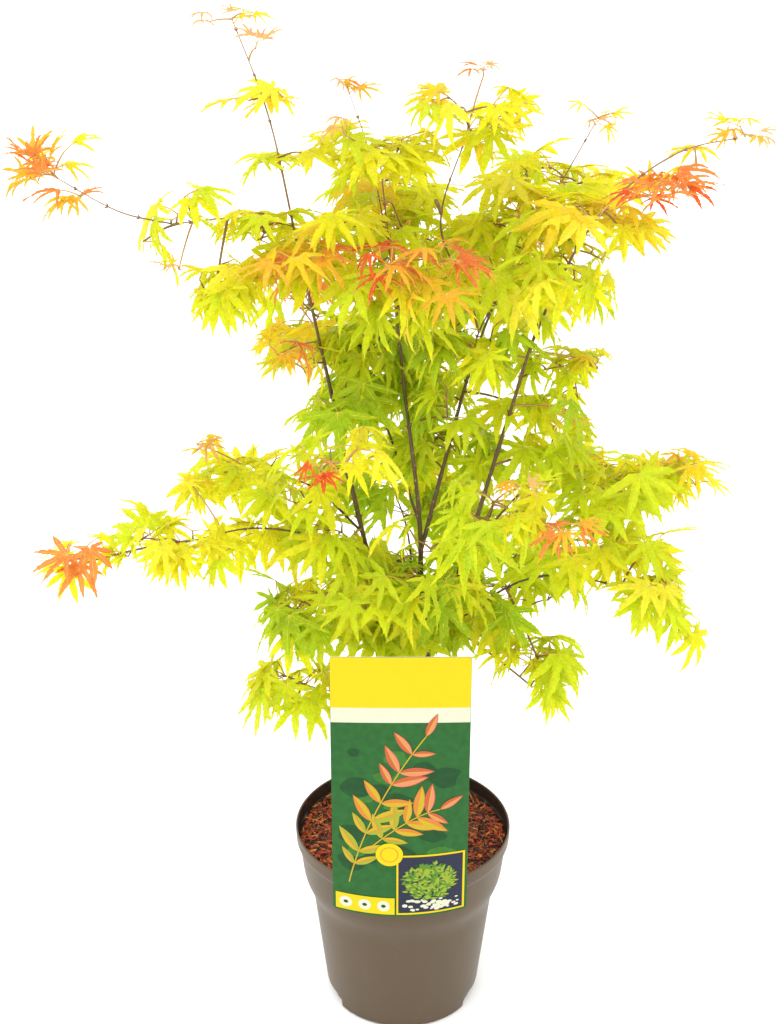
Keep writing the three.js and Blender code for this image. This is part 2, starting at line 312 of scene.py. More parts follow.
def mixColours(tree, factor, first, second):
    mix = addNode(tree, "Mix", factor, data_type="RGBA")
    feed(tree, mix.inputs[6], first)  # the colour sockets
    feed(tree, mix.inputs[7], second)
    return mix.outputs[2]


def dressShader(tree, shader, colour, height, strength, distance):
    feed(tree, shader.inputs["Base Color"], colour)
    bump = addNode(tree, "Bump", Strength=strength, Distance=distance, Height=height)
    feed(tree, shader.inputs["Normal"], bump.outputs[0])


def leafMaterial(name, colour):
    # thin blade: glossy skin over a colour that lets light through from behind
    material, tree, shader = newMaterial(name, 0.42, 0.22)
    veins = groupNode(tree, leafVeins)
    paler = tuple(min(1.0, 0.35 + 0.75 * c) for c in colour[:3]) + (1.0,)
    shown = mixColours(tree, maths(tree, "MULTIPLY", veins["Vein"], 0.2),
                       mottled(tree, colour, 45.0, 0.05, 0.35), paler)
    dressShader(tree, shader, shown, veins["Height"], 0.35, 0.0006)
    through = addNode(tree, "BsdfTranslucent", shown)
    mix = addNode(tree, "MixShader", leafGlow, shader.outputs[0], through.outputs[0])
    feed(tree, tree.nodes["Material Output"].inputs["Surface"], mix.outputs[0])
    return material


def stalkMaterial(name, colour, other):
    material, tree, shader = newMaterial(name, 0.45)
    bark = groupNode(tree, youngBark, Scale=500.0)
    shown = mixColours(tree, bark["Streak"], mottled(tree, colour, 60.0, 0.04, 0.4), other)
    dressShader(tree, shader, shown, bark["Height"], 0.3, 0.0002)
    return material


def barkMaterial():
    # olive brown below, redder and paler towards the tips
    material, tree, shader = newMaterial("stemBark", 0.6)
    bark = groupNode(tree, youngBark, Scale=260.0)
    height = addNode(tree, "SeparateXYZ", addNode(tree, "TexCoord").outputs["Object"]).outputs["Z"]
    rise = addNode(tree, "MapRange", height, 0.55, 0.86).outputs[0]  # metres
    low = mixColours(tree, bark["Streak"], srgb(58, 42, 20), srgb(104, 82, 40))
    high = mixColours(tree, bark["Streak"], srgb(126, 92, 62), srgb(176, 142, 106))
    shown = mixColours(tree, bark["Pore"], mixColours(tree, rise, low, high), srgb(158, 134, 92))
    dressShader(tree, shader, shown, bark["Height"], 0.6, 0.0005)
    return material


def potMaterial(name, colour, dusty):
    material, tree, shader = newMaterial(name, 0.42, 0.32)
    fine = groupNode(tree, grain, Scale=900.0, Dust_Level=0.58)
    shown = mixColours(tree, maths(tree, "MULTIPLY", fine["Dust"], 0.22),
                       mottled(tree, colour, 14.0, 0.006, 0.1), dusty)
    dressShader(tree, shader, shown, fine["Height"], 0.25, 0.0004)
    rough = maths(tree, "MULTIPLY_ADD", fine["Dust"], 0.25, 0.4, use_clamp=True)
    feed(tree, shader.inputs["Roughness"], rough)
    return material


def earthMaterial(name, colour, other, roughness):
    material, tree, shader = newMaterial(name, roughness)
    fine = groupNode(tree, grain, Scale=1500.0, Dust_Level=0.5)
    shown = mixColours(tree, fine["Dust"], mottled(tree, colour, 120.0, 0.03, 0.9), other)
    dressShader(tree, shader, shown, fine["Height"], 0.8, 0.0006)
    return material


def inkMaterial(name, colour, roughness, drift):
    # gloss print on card, with the faint wave of coated paper
    material, tree, shader = newMaterial(name, roughness, 0.2)
    fine = groupNode(tree, grain, Scale=500.0, Dust_Level=0.7)
    dressShader(tree, shader, mottled(tree, colour, 30.0, 0.004, drift), fine["Height"], 0.08, 0.0003)
    return material


leafColours = {
    "green": srgb(178, 202, 20), "lime": srgb(210, 221, 22), "bright": srgb(230, 226, 24),
    "lemon": srgb(240, 230, 56), "gold": srgb(238, 212, 36), "amber": srgb(236, 184, 50),
    "coral": srgb(228, 142, 68), "rose": srgb(228, 178, 122), "flame": srgb(222, 104, 40),
}
leafGlow = 0.58
leafMaterials = {name: leafMaterial("leaf_" + name, colour) for name, colour in leafColours.items()}
ribMaterials = {"pale": stalkMaterial("paleMidribs", srgb(212, 212, 40), srgb(222, 222, 72)),
                "warm": stalkMaterial("warmMidribs", srgb(236, 196, 84), srgb(240, 210, 120))}
stalkGreen = stalkMaterial("leafStalks", srgb(180, 168, 50), srgb(206, 138, 62))
twigBrown = stalkMaterial("twigBark", srgb(104, 80, 36), srgb(150, 112, 54))
twigRed = stalkMaterial("youngShoots", srgb(158, 114, 60), srgb(192, 146, 84))
budRed = stalkMaterial("budScales", srgb(120, 66, 40), srgb(158, 96, 56))
print("stage: materials built")

view = {
    "place": (-0.0131, -1.479, 1.195), "downwards": 25.8,  # metres, degrees below level
    "pixelFocus": 2000.0, "pixelHeight": 1024.0,
}
studio = {
    "floorSize": 60.0, "floorColour": (0.95, 0.95, 0.945, 1), "sky": 1.6,
    "sun": 0.9, "sunSpread": 50.0, "sunTurn": (34, 0, -26),
}


def setStudio():
    s = studio
    camera = addObject("camera", bpy.data.cameras.new("camera"))
    camera.data.lens = camera.data.sensor_width * view["pixelFocus"] / view["pixelHeight"]
    camera.location = view["place"]
    camera.rotation_euler = (math.radians(90 - view["downwards"]), 0, 0)
    scene.camera = camera
    scene.view_settings.view_transform = "Standard"

    reach = s["floorSize"] / 2
    mesh = bpy.data.meshes.new("floor")
    mesh.from_pydata([(-reach, -reach, 0), (reach, -reach, 0), (reach, reach, 0), (-reach, reach, 0)],
                     [], [(0, 1, 2, 3)])
    material, tree, shader = newMaterial("paleFloor", 0.7)
    feed(tree, shader.inputs["Base Color"], mottled(tree, s["floorColour"], 2.0, 0.0, 0.01))
    mesh.materials.append(material)
    floor = addObject("floor", mesh)

    world = bpy.data.worlds.new("studio")
    world.use_nodes = True
    background = world.node_tree.nodes["Background"]
    background.inputs["Color"].default_value = (1, 1, 1, 1)
    background.inputs["Strength"].default_value = s["sky"]
    scene.world = world
    sun = addObject("sun", bpy.data.lights.new("sun", "SUN"))
    sun.data.energy = s["sun"]
    sun.data.angle = math.radians(s["sunSpread"])
    sun.rotation_euler = [math.radians(a) for a in s["sunTurn"]]


setStudio()
print("stage: camera and light set")

# a turned shell with a lipped collar and cut corners at its foot
potForm = {
    "height": 175, "rim": 95, "lip": 13, "lipStep": 3.2, "collarFoot": 126, "collarFootRadius": 87.8,
    "bodyTop": 109, "bodyTopRadius": 80.4, "foot": 68, "wall": 1.8, "floor": 3, "turns": 168,
    "notchAngles": (72, 144, 216, 288), "notchWidth": 42, "notchHeight": 12, "notchDepth": 10,
    "notchEdge": 1.5, "outOfRound": 0.25, "roundWithin": 60, "stepLength": 3.0, "sharpAngle": 32,
    "outerRound": (0, 0.6, 0.3, 0.3, 0.6, 1.5, 1.2, 2, 9, 8, 1.6, 1.8, 0.6, 0),
    "innerRound": (0, 0.5, 1.2, 1.2, 2, 2, 3, 2, 0),
}


def roundedLine(points, radii):
    # a profile whose corners are rounded by the given radii, with short steps on long stretches
    points = [np.array(p, float) for p in points]
    line = []
    for i, (point, radius) in enumerate(zip(points, radii)):
        if radius == 0:
            line.append(point)
            continue
        before, after = unit(points[i - 1] - point), unit(points[i + 1] - point)
        line += [bow(point + before * radius, point, point + after * radius, share)
                 for share in np.linspace(0, 1, 5)]
    dense = [line[0]]
    for a, b in zip(line[:-1], line[1:]):
        pieces = max(1, int(np.linalg.norm(b - a) / potForm["stepLength"]))
        dense += [a + (b - a) * s / pieces for s in range(1, pieces + 1)]
    return np.array(dense)


def cutCorners(places):
    # flat cuts across the foot, which fade out towards their sides and their tops
    p = potForm
    for turn in np.radians(p["notchAngles"]):
        outwards = np.array([math.sin(turn), -math.cos(turn)])
        along = np.array([outwards[1], -outwards[0]])
        far, aside = places[:, :2] @ outwards, np.abs(places[:, :2] @ along)
        allowed = p["foot"] - p["notchDepth"] * (1 - places[:, 2] / p["notchHeight"])
        edge = np.clip((p["notchWidth"] / 2 - aside) / p["notchEdge"], 0, 1)
        outside = (places[:, 2] < p["notchHeight"]) & (far > allowed)
        places[:, :2] -= np.where(outside, (far - allowed) * edge, 0)[:, None] * outwards


def buildPot():
    p = potForm
    height, rim, foot, wall, step = [p[key] for key in ("height", "rim", "foot", "wall", "lipStep")]
    lipFoot, mouth = height - p["lip"], (rim - wall / 2, height)
    outer = [(0, 0), (30, 0), (31, 0.7), (33, 0.7), (34, 0), (foot - 4, 0), (foot - 0.4, 1.4), (foot, 5),
             (p["bodyTopRadius"], p["bodyTop"]), (p["collarFootRadius"], p["collarFoot"]),
             (rim - step, lipFoot - step), (rim - 0.6, lipFoot), (rim, height - 0.8), mouth]
    inner = [mouth, (rim - wall, height - 0.8), (rim - wall, lipFoot), (rim - step - wall, lipFoot - step),
             (p["collarFootRadius"] - wall, p["collarFoot"]), (p["bodyTopRadius"] - wall, p["bodyTop"]),
             (foot - wall + 1.7, 15), (54, p["floor"]), (0, p["floor"])]
    outside = roundedLine(outer, p["outerRound"])
    profile = np.concatenate([outside, roundedLine(inner, p["innerRound"])[1:]])
    turns, angles = p["turns"], around(p["turns"])
    drift = p["outOfRound"] * np.sin(2 * angles + 0.6)  # a moulded pot is never quite round
    places = []
    for radius, z in profile[1:-1]:
        reach = radius + drift * (z / height) * (radius > p["roundWithin"])
        places.append(np.stack([np.sin(angles) * reach, -np.cos(angles) * reach, np.full(turns, z)], 1))
    places = np.concatenate(places)
    cutCorners(places)
    total = len(places)
    last = total - turns
    ahead = [(j + 1) % turns for j in range(turns)]
    faces = [(a + j, a + k, a + turns + k, a + turns + j)
             for a in range(0, last, turns) for j, k in enumerate(ahead)]
    for j, k in enumerate(ahead):
        faces += [(total, k, j), (total + 1, last + j, last + k)]
    places = np.concatenate([places, [[0, 0, profile[0][1]], [0, 0, profile[-1][1]]]])
    firstInside = (len(outside) + 1) * turns
    # the inner wall and inner floor take the second material, a darker copy of the same taupe plastic:
    # painted shade inside the pot, whose plastic is the same colour through
    kinds = [int(firstInside <= face[0] < total or face[0] > total) for face in faces]
    skins = [potMaterial("taupePlastic", srgb(82, 67, 48), srgb(124, 108, 84)),
             potMaterial("taupePlasticInsidePaintedShade", srgb(46, 35, 28), srgb(78, 62, 50))]
    addShell("potShell", places, faces, skins, kinds, p["sharpAngle"], "pot")


buildPot()
print("stage: pot turned")

# a bent sheet with printed areas laid on it, and the tongue that holds it on the rim
cardForm = {
    "left": -60, "right": 54, "bottom": 144, "top": 398, "back": -95.35, "thickness": 0.8,
    "bendTop": 1, "bendBottom": 13, "corner": 3.0, "columns": 38, "rows": 72, "sharpAngle": 40,
    "tongueWidth": 22, "tongueInset": 4.2, "tongueHalfThick": 0.38, "rim": 175.35, "tongueFoot": 163.6,
    "layer": 0.1, "margin": 0.25, "footMargin": 2.2, "header": 47, "strip": 14, "seed": 14,
}
cardMiddle = (cardForm["left"] + cardForm["right"]) / 2
cardHalf = (cardForm["right"] - cardForm["left"]) / 2
cardTall = cardForm["top"] - cardForm["bottom"]
inks = {
    "inkYellow": srgb(204, 180, 0), "inkWhite": srgb(196, 196, 172), "inkGreen": srgb(32, 86, 34),
    "inkCoral": srgb(176, 82, 54), "inkOrange": srgb(188, 116, 44), "inkGold": srgb(178, 150, 30),
    "inkBlush": srgb(196, 122, 88), "inkSlate": srgb(34, 38, 56), "inkLeaf": srgb(82, 124, 34),
    "inkLime": srgb(136, 152, 40), "inkShade": srgb(20, 66, 28), "inkMoss": srgb(50, 104, 36),
}
inkDrifts = {"inkGreen": 0.7, "inkShade": 0.7, "inkMoss": 0.7}
inkMaterials = {name: inkMaterial(name, colour, 0.32, inkDrifts.get(name, 0.05))
                for name, colour in inks.items()}
paper = inkMaterial("cardPaper", srgb(226, 226, 216), 0.5, 0.03)
inkHeaps = {name: Heap() for name in inks}


def cardPoint(x, z, lift=0.0):
    # a place on the bent sheet; a lift of 0 is its front face
    c = cardForm
    across, rise = (x - cardMiddle) / cardHalf, (z - c["bottom"]) / cardTall
    bend = c["bendBottom"] + (c["bendTop"] - c["bendBottom"]) * min(1, rise * 1.3)
    return [x, c["back"] - c["thickness"] - lift + bend * across ** 2, z]


def buildSheet():
    c = cardForm
    corner = c["corner"]
    steps = np.array([0, 0.3, 0.9, 1.8, 3, corner])
    rows = np.linspace(corner, cardTall - corner, c["rows"])[1:-1]
    heights = np.concatenate([steps, rows, cardTall - steps[::-1]])
    places = []
    for lift in (0, -c["thickness"]):
        for h in heights:
            nearest = min(h, cardTall - h, corner)
            inset = corner - math.sqrt(max(0, corner ** 2 - (corner - nearest) ** 2))
            places += [cardPoint(cardMiddle + share * (cardHalf - inset), c["bottom"] + h, lift)
                       for share in np.linspace(-1, 1, c["columns"])]
    wide, tall = c["columns"], len(heights)
    back = wide * tall
    faces, kinds = [], []
    for a in (i * wide + j for i in range(tall - 1) for j in range(wide - 1)):
        faces += [(a, a + 1, a + wide + 1, a + wide),
                  (back + a, back + a + wide, back + a + wide + 1, back + a + 1)]
        kinds += [0, 1]
    edge = [*range(wide), *range(2 * wide - 1, back, wide), *range(back - 2, back - wide - 1, -1),
            *range(back - 2 * wide, 0, -wide)]
    for a, b in zip(edge, edge[1:] + edge[:1]):
        faces.append((a, back + a, back + b, b))
        kinds.append(1)
    addShell("cardSheet", places, faces, [inkMaterials["inkGreen"], paper], kinds, c["sharpAngle"], "card")


def buildTongue():
    c = cardForm
    start, end = c["back"] - 0.4, c["back"] + c["tongueInset"] - 0.4
    top, half = c["rim"] + 0.4, c["tongueWidth"] / 2
    line = [(start, top), (end - 1, top), (end - 0.3, top - 0.3), (end, top - 1), (end, c["tongueFoot"])]
    heap, places, faces = Heap(), [], []
    for i, (y, z) in enumerate(line):
        ahead = np.subtract(line[min(i + 1, len(line) - 1)], line[max(i - 1, 0)])
        side = np.array([-ahead[1], ahead[0]]) / np.linalg.norm(ahead) * c["tongueHalfThick"]
        for x, s in ((-half, 1), (half, 1), (half, -1), (-half, -1)):
            places.append([x, y + side[0] * s, z + side[1] * s])
    last = len(places) - 4
    for a in range(0, last, 4):
        faces += [(a + j, a + 4 + j, a + 4 + k, a + k) for j, k in ((0, 1), (1, 2), (2, 3), (3, 0))]
    faces += [(0, 1, 2, 3), (last + 3, last + 2, last + 1, last)]
    heap.add(np.array(places) * mm, faces)
    heap.build("cardTongue", paper, "card", ["card"], smooth=False)


def boxOutline(x0, z0, x1, z1, step=3):
    corners = [(x0, z0), (x1, z0), (x1, z1), (x0, z1)]
    outline = []
    for (ax, az), (bx, bz) in zip(corners, corners[1:] + corners[:1]):
        pieces = max(1, int(max(abs(bx - ax), abs(bz - az)) / step))
        outline += [(ax + (bx - ax) * i / pieces, az + (bz - az) * i / pieces) for i in range(pieces)]
    return outline


def roundOutline(x, z, radius, squash=1.0, points=36):
    return [(x + radius * math.cos(t), z + radius * squash * math.sin(t)) for t in around(points)]


def almondOutline(x, z, length, width, turn, otherHalf=1.0):
    # a pointed leaflet from (x, z), turned from upright to the right; otherHalf narrows its left half
    ahead, aside = (math.sin(turn), math.cos(turn)), (math.cos(turn), -math.sin(turn))
    shares = np.linspace(0, 1, 9)
    half = width / 2 * np.sin(math.pi * shares ** 0.85) ** 0.9
    right = [(s * length, h) for s, h in zip(shares, half)]
    left = [(s * length, -h * otherHalf) for s, h in zip(shares[-2:0:-1], half[-2:0:-1])]
    return [(x + ahead[0] * along + aside[0] * out, z + ahead[1] * along + aside[1] * out)
            for along, out in right + left]


def printShape(ink, outline, layer, rings=3):
    # fills an outline that is star shaped about its middle, following the bend
    outline = np.array(outline)
    middle = (outline.max(0) + outline.min(0)) / 2
    turned = np.roll(outline, -1, 0)
    if (outline[:, 0] * turned[:, 1] - turned[:, 0] * outline[:, 1]).sum() < 0:
        outline = outline[::-1]
    lift = layer * cardForm["layer"]
    places = [cardPoint(*middle, lift)]
    for ring in range(1, rings + 1):
        places += [cardPoint(*spot, lift) for spot in middle + (outline - middle) * ring / rings]
    inkHeaps[ink].add(np.array(places) * mm, discFaces(rings, len(outline)))


def printSprig(start, end, middleShift, leaflets, colours, rng):
    # a stalk with pairs of pointed leaflets and one at its tip
    start, end = np.array(start, float), np.array(end, float)
    line = bow(start, (start + end) / 2 + middleShift, end, np.linspace(0, 1, 25)[:, None])
    for a, b in zip(line[:-1], line[1:]):
        ahead = unit(b - a)
        aside = np.array([ahead[1], -ahead[0]]) * 0.55
        printShape("inkGold", [a - aside, a + aside, b + aside * 0.9, b - aside * 0.9], 3.4, 1)
    halves = {"inkCoral": ("inkBlush", "inkGold"), "inkOrange": ("inkGold", "inkGold"),
              "inkGold": ("inkLime", "inkOrange")}  # a leaflet's lighter half and its midrib
    for i in range(leaflets + 1):
        node = int(i * 21 / leaflets)
        spot = line[min(24, 3 + node)]
        ahead = end - start if i == leaflets else line[min(24, 4 + node)] - line[node]
        heading = math.atan2(ahead[0], ahead[1])
        for way in (0.0,) if i == leaflets else (-1.0, 1.0):
            length = rng.uniform(21, 30) * (0.75 + 0.4 * math.sin(math.pi * (i + 1) / (leaflets + 1.5)))
            turn = heading + way * rng.uniform(0.75, 1.15)
            choice = int(i / (leaflets + 1) * len(colours) + rng.uniform(0, 0.7))
            ink = colours[min(len(colours) - 1, choice)]
            lighter, midrib = halves[ink]
            layer = 3.6 + 0.3 * (i % 3) + 0.1 * way
            printShape(ink, almondOutline(*spot, length, length * 0.3, turn), layer)
            half = almondOutline(*spot, length * 0.96, length * 0.26, turn, 0.04)
            printShape(lighter, half, 4.5 + 0.02 * i, 2)
            printShape(midrib, almondOutline(*spot, length * 0.94, 1.0, turn), 4.7, 2)


def printHeader(left, right, top, header):
    # plain band with rounded upper corners, and a plain strip under it
    c = cardForm
    r = c["corner"]
    quarter = np.linspace(0, math.pi / 2, 5)
    outline = [(x, header) for x in np.linspace(left, right, 24)]
    outline += [(right - r + r * math.cos(t), top - r + r * math.sin(t)) for t in quarter]
    outline += [(x, top) for x in np.linspace(right - r, left + r, 22)[1:-1]]
    outline += [(left + r - r * math.sin(t), top - r + r * math.cos(t)) for t in quarter]
    printShape("inkYellow", outline, 1, 12)
    printShape("inkWhite", boxOutline(c["left"] + 0.3, header - c["strip"], c["right"] - 0.3, header), 1, 12)


def printDrifts(left, right, rng):
    # darker and lighter drifts in the green field
    for i in range(26):
        x, z, size = rng.uniform(-46, 40), rng.uniform(176, 318), rng.uniform(5, 13)
        wave, phase = rng.uniform(0.1, 0.3), rng.uniform(0, 6)
        size = min(size, (x - left) / 1.35, (right - x) / 1.35)
        blob = [(x + size * math.cos(t) * (1 + wave * math.sin(3 * t + phase)), z + 0.8 * size * math.sin(t))
                for t in around(30)]
        printShape(("inkShade", "inkMoss", "inkShade")[i % 3], blob, 1.1 + i * 0.03, 3)


def printPicture(right, bottom, rng):
    # small picture of a round bush on pebbles, lower right, in a yellow border
    pebbles, leaflets, bush, bushRadius = 46, 560, (22, 179), 21
    printShape("inkYellow", boxOutline(-6, bottom, right - 2, 207), 5, 10)
    printShape("inkSlate", boxOutline(-4.4, bottom + 1.8, right - 3.8, 205.2), 6, 10)
    for _ in range(pebbles):
        x, z, radius = rng.uniform(0, 46), bottom + rng.uniform(3.5, 15), rng.uniform(1.2, 2.8)
        printShape("inkWhite", roundOutline(x, z, radius, 0.6, 14), 6.6, 1)
    for i in range(leaflets):
        turn, far = rng.uniform(0, fullTurn), bushRadius * math.sqrt(rng.random())
        x, z = bush[0] + far * math.cos(turn), bush[1] + 0.88 * far * math.sin(turn)
        ink = ("inkShade", "inkLeaf", "inkLeaf", "inkLime")[min(3, int(i / 170 + rng.uniform(0, 0.9)))]
        leaflet = almondOutline(x, z, rng.uniform(3, 6), 1.8, rng.uniform(-1.9, 1.9))
        printShape(ink, leaflet, 7 + i / leaflets, 1)


def printMarks(bottom):
    # strip with three round marks, lower left, and a plain disc
    printShape("inkYellow", boxOutline(cardForm["left"] + 2.4, bottom, -7.5, bottom + 17), 5, 8)
    for x in (-49, -33, -17):
        printShape("inkWhite", roundOutline(x, bottom + 8.5, 5.4), 6, 2)
        printShape("inkShade", roundOutline(x, bottom + 8.5, 2.0, 0.8, 18), 7, 1)
    for ink, radius, layer in (("inkYellow", 11.5, 8.5), ("inkOrange", 7.6, 8.8), ("inkYellow", 6.8, 9.1)):
        printShape(ink, roundOutline(-12, 208, radius), layer)


def buildCard():
    c = cardForm
    rng = np.random.default_rng(c["seed"])
    buildSheet()
    buildTongue()
    left, right, bottom = c["left"] + c["margin"], c["right"] - c["margin"], c["bottom"] + c["footMargin"]
    printHeader(left, right, c["top"] - c["margin"], c["top"] - c["header"])
    printDrifts(left, right, rng)
    warm = ("inkGold", "inkOrange", "inkCoral")
    printSprig((-46, 176), (18, 324), (-16, 6), 8, ("inkGold", *warm, "inkCoral"), rng)
    printSprig((-26, 216), (30, 252), (4, 14), 5, warm, rng)
    printPicture(right, bottom, rng)
    printMarks(bottom)
    for name, heap in inkHeaps.items():
        if heap.total:
            heap.build("card_" + name, inkMaterials[name], "card", ["card"])


buildCard()
print("stage: card printed")

# a lumpy surface under loose shreds of bark and fibres
compost = {
    "level": 161.0, "radius": 91.4, "rings": 46, "turns": 120, "lumps": 2.0, "grit": 0.25, "skirt": 6,
    "shreds": 2700, "length": (4.0, 20.0), "width": (0.8, 3.4), "thickness": (0.4, 1.3), "pitch": 0.28,
    "fibres": 700, "fibreLength": (6, 16), "fibreRadius": 0.2, "seed": 5,
}
shredColours = {
    "shredDark": (srgb(46, 15, 6), srgb(88, 36, 15)), "shredRed": (srgb(158, 54, 12), srgb(196, 84, 28)),
    "shredBrown": (srgb(110, 50, 19), srgb(150, 82, 37)),
    "shredTan": (srgb(190, 111, 46), srgb(216, 148, 76)),
}
shredShares = (0.28, 0.34, 0.22, 0.16)
boxFaces = [(0, 1, 2), (0, 2, 3), (4, 6, 5), (4, 7, 6), (0, 4, 5), (0, 5, 1), (1, 5, 6), (1, 6, 2),
            (2, 6, 7), (2, 7, 3), (3, 7, 4), (3, 4, 0)]


def compostHeight(x, y):
    lumps = (math.sin(x * 0.19 + 1.3) * math.cos(y * 0.23 - 0.4) + 0.6 * math.sin(x * 0.41 - y * 0.37)
             + 0.35 * math.cos(x * 0.83 + y * 0.71))
    return compost["level"] + lumps * compost["lumps"] * 0.5


def buildBed(rng):
    c = compost
    turns = c["turns"]
    places = [[0, 0, compostHeight(0, 0)]]
    for i in range(1, c["rings"] + 1):
        for turn in around(turns):
            x, y = polar(c["radius"] * i / c["rings"], turn)
            places.append([x, y, compostHeight(x, y) + rng.normal(0, c["grit"])])
    rim, skirt = len(places) - turns, len(places)
    places += [[x * 0.97, y * 0.97, c["level"] - c["skirt"]] for x, y, _ in places[rim:]]
    bed = Heap()
    bed.add(np.array(places) * mm, discFaces(c["rings"], turns) + bandFaces(rim, skirt, turns))
    # the bed's dark brown is partly the compost's own colour and partly painted shade for the gaps between
    # the shreds
    earth = earthMaterial("compostBed", srgb(56, 30, 18), srgb(92, 56, 34), 0.85)
    bed.build("compostBed", earth, "compost", ["soil"])


def addShred(heaps, rng):
    # a splintered sliver of bark that lies on the bed, inside the pot
    c = compost
    radius, turn = c["radius"] * math.sqrt(rng.random()) * 0.985, rng.random() * fullTurn
    x, y = polar(radius, turn)
    long = rng.uniform(*c["length"]) * (0.5 + 0.5 * rng.random())
    wide, thick = rng.uniform(*c["width"]), rng.uniform(*c["thickness"])
    yaw, pitch = rng.random() * fullTurn, rng.normal(0, c["pitch"])
    along = np.array([math.cos(yaw) * math.cos(pitch), math.sin(yaw) * math.cos(pitch), math.sin(pitch)])
    aside = unit(np.cross(along, up + rng.normal(0, 0.4, 3)))
    above = np.cross(aside, along)
    corners = []
    for t in (-1, 1):
        for a, b, least in ((-1, -1, 0.5), (1, -1, 0.5), (1, 1, 0.4), (-1, 1, 0.4)):
            end = rng.uniform(least, 1)
            corners.append(a * long * end / 2 * along + b * wide * end / 2 * aside + t * thick / 2 * above)
    corners = np.array(corners)
    middle = np.array([x, y, compostHeight(x, y) + rng.uniform(0.1, 1.6)])
    out = np.hypot(corners[:, 0] + x, corners[:, 1] + y).max() - c["radius"]
    if out > 0:
        middle[:2] *= 1 - out / max(radius, 1)
    heaps[rng.choice(len(heaps), p=shredShares)].add((corners + middle) * mm, boxFaces)


def addFibre(heaps, rng):
    c = compost
    radius, turn = c["radius"] * math.sqrt(rng.random()) * 0.9, rng.random() * fullTurn
    start = np.array([*polar(radius, turn), 0])
    yaw, long = rng.random() * fullTurn, rng.uniform(*c["fibreLength"])
    end = start + np.array([math.cos(yaw), math.sin(yaw), 0]) * long
    if np.hypot(*end[:2]) > c["radius"] - 2:
        end = start * 0.85
    for point in (start, end):
        point[2] = compostHeight(point[0], point[1]) + rng.uniform(0.6, 1.8)
    line = arc(start, end, rng.uniform(0.5, 2), 6, rng.normal(0, 1.5, 3) * (1, 1, 0))
    heaps[rng.choice((1, 2, 3))].add(*tube(line * mm, np.full(6, c["fibreRadius"] * mm), 4))


def buildCompost():
    rng = np.random.default_rng(compost["seed"])
    heaps = [Heap() for _ in shredColours]
    buildBed(rng)
    for _ in range(compost["shreds"]):
        addShred(heaps, rng)
    for _ in range(compost["fibres"]):
        addFibre(heaps, rng)
    for heap, (name, (colour, other)) in zip(heaps, shredColours.items()):
        heap.build(name, earthMaterial(name, colour, other, 0.7), "compost", ["soil"], smooth=False)


buildCompost()
print("stage: compost laid")

# stems and boughs as in the solid model, in millimetres: the parent and the share along it
# where a limb starts, the places that it runs through, and its radii at both ends
limbs = {
    "trunk": (None, (2, 4, 163.35), [(10, 3, 235), (7, 0, 312)], (5.6, 4.4)),
    "leader": ("trunk", 0.95,
               [(-29, 1, 438), (-58, 10, 578), (-84, 20, 703), (-105, 27, 805),
                (-133, 30, 884)], (3.2, 0.9)),
    "centre_stem": ("trunk", 0.97, [(14, 0, 447), (-1, 2, 597), (-20, 8, 782)], (3.3, 1.0)),
    "right_stem": ("trunk", 0.93,
                   [(38, -6, 399), (85, -20, 583), (103, -30, 653), (147, -22, 740),
                    (203, -20, 787), (255, -20, 800)], (3.1, 1.0)),
    "right_centre_stem": ("centre_stem", 0.29,
                          [(67, 40, 632), (108, 54, 712), (152, 70, 790)], (2.5, 0.9)),
    "centre_fork": ("right_centre_stem", 0.53, [(28, 12, 718), (48, 0, 802)], (1.7, 0.9)),
    "left_upper_bough": ("leader", 0.64, [(-118, 10, 724), (-180, 0, 726)], (1.5, 1.0)),
    "left_upper_end": ("left_upper_bough", 1.0, [(-215, -22, 742), (-262, -40, 776)], (1.0, 0.8)),
    "left_low_bough": ("leader", 0.13, [(-60, -14, 456), (-118, -30, 480), (-182, -45, 473)], (1.9, 1.1)),
    "left_back_bough": ("leader", 0.27, [(-78, 26, 492), (-138, 50, 494)], (1.6, 1.0)),
    "right_low_bough": ("right_stem", 0.12, [(110, -34, 438), (212, -50, 428)], (1.8, 1.0)),
    "right_mid_bough": ("right_stem", 0.24, [(104, 22, 492), (178, 50, 494)], (1.6, 1.0)),
    "front_left_bough": ("leader", 0.3, [(-48, -62, 548), (-56, -125, 582)], (1.5, 0.9)),
    "front_right_bough": ("right_stem", 0.23, [(66, -72, 510), (66, -130, 552)], (1.5, 0.9)),
    "back_low_bough": ("centre_stem", 0.1, [(4, 60, 430), (-12, 125, 452)], (1.8, 1.0)),
    "back_left_bough": ("centre_stem", 0.34, [(-28, 66, 560), (-78, 134, 592)], (1.7, 1.0)),
    "back_right_bough": ("right_centre_stem", 0.3, [(62, 92, 600), (88, 150, 625)], (1.6, 1.0)),
    "back_top_bough": ("centre_stem", 0.62, [(-8, 50, 685), (-8, 98, 722)], (1.5, 0.9)),
    "top_shoot": ("centre_stem", 0.82, [(-28, 14, 780), (-43, 20, 824)], (1.0, 0.7)),
    "lower_left_shoot": ("trunk", 0.8, [(-32, -14, 308), (-84, -34, 336)], (1.3, 0.9)),
}
barkForm = {
    "step": 2.6, "fewestRings": 12, "sides": 14, "thinTip": 0.68, "slender": 0.68, "stout": 3,
    "aboveFork": 0.85, "end": 0.985, "flare": 0.828, "joint": 46.0, "firstJoint": 0.6, "longLimb": 300,
    "longSpacing": 0.8, "shortSpacing": 0.6, "swelling": 0.22, "swellingReach": 1.9, "scar": 0.1,
    "scarAbove": 3.4, "scarReach": 0.9, "waver": 0.06, "waverLength": 9, "budRadii": (0.55, 0.8, 0.62, 0.1),
    "budOut": 1.6, "budUp": 2.9, "stubShare": 0.6, "stubLean": (-0.35, -0.3, 0.9), "stubLength": 13,
    "stubRadii": (1.5, 1.7, 1.6, 1.6, 1.7, 1.4), "seed": 21,
}


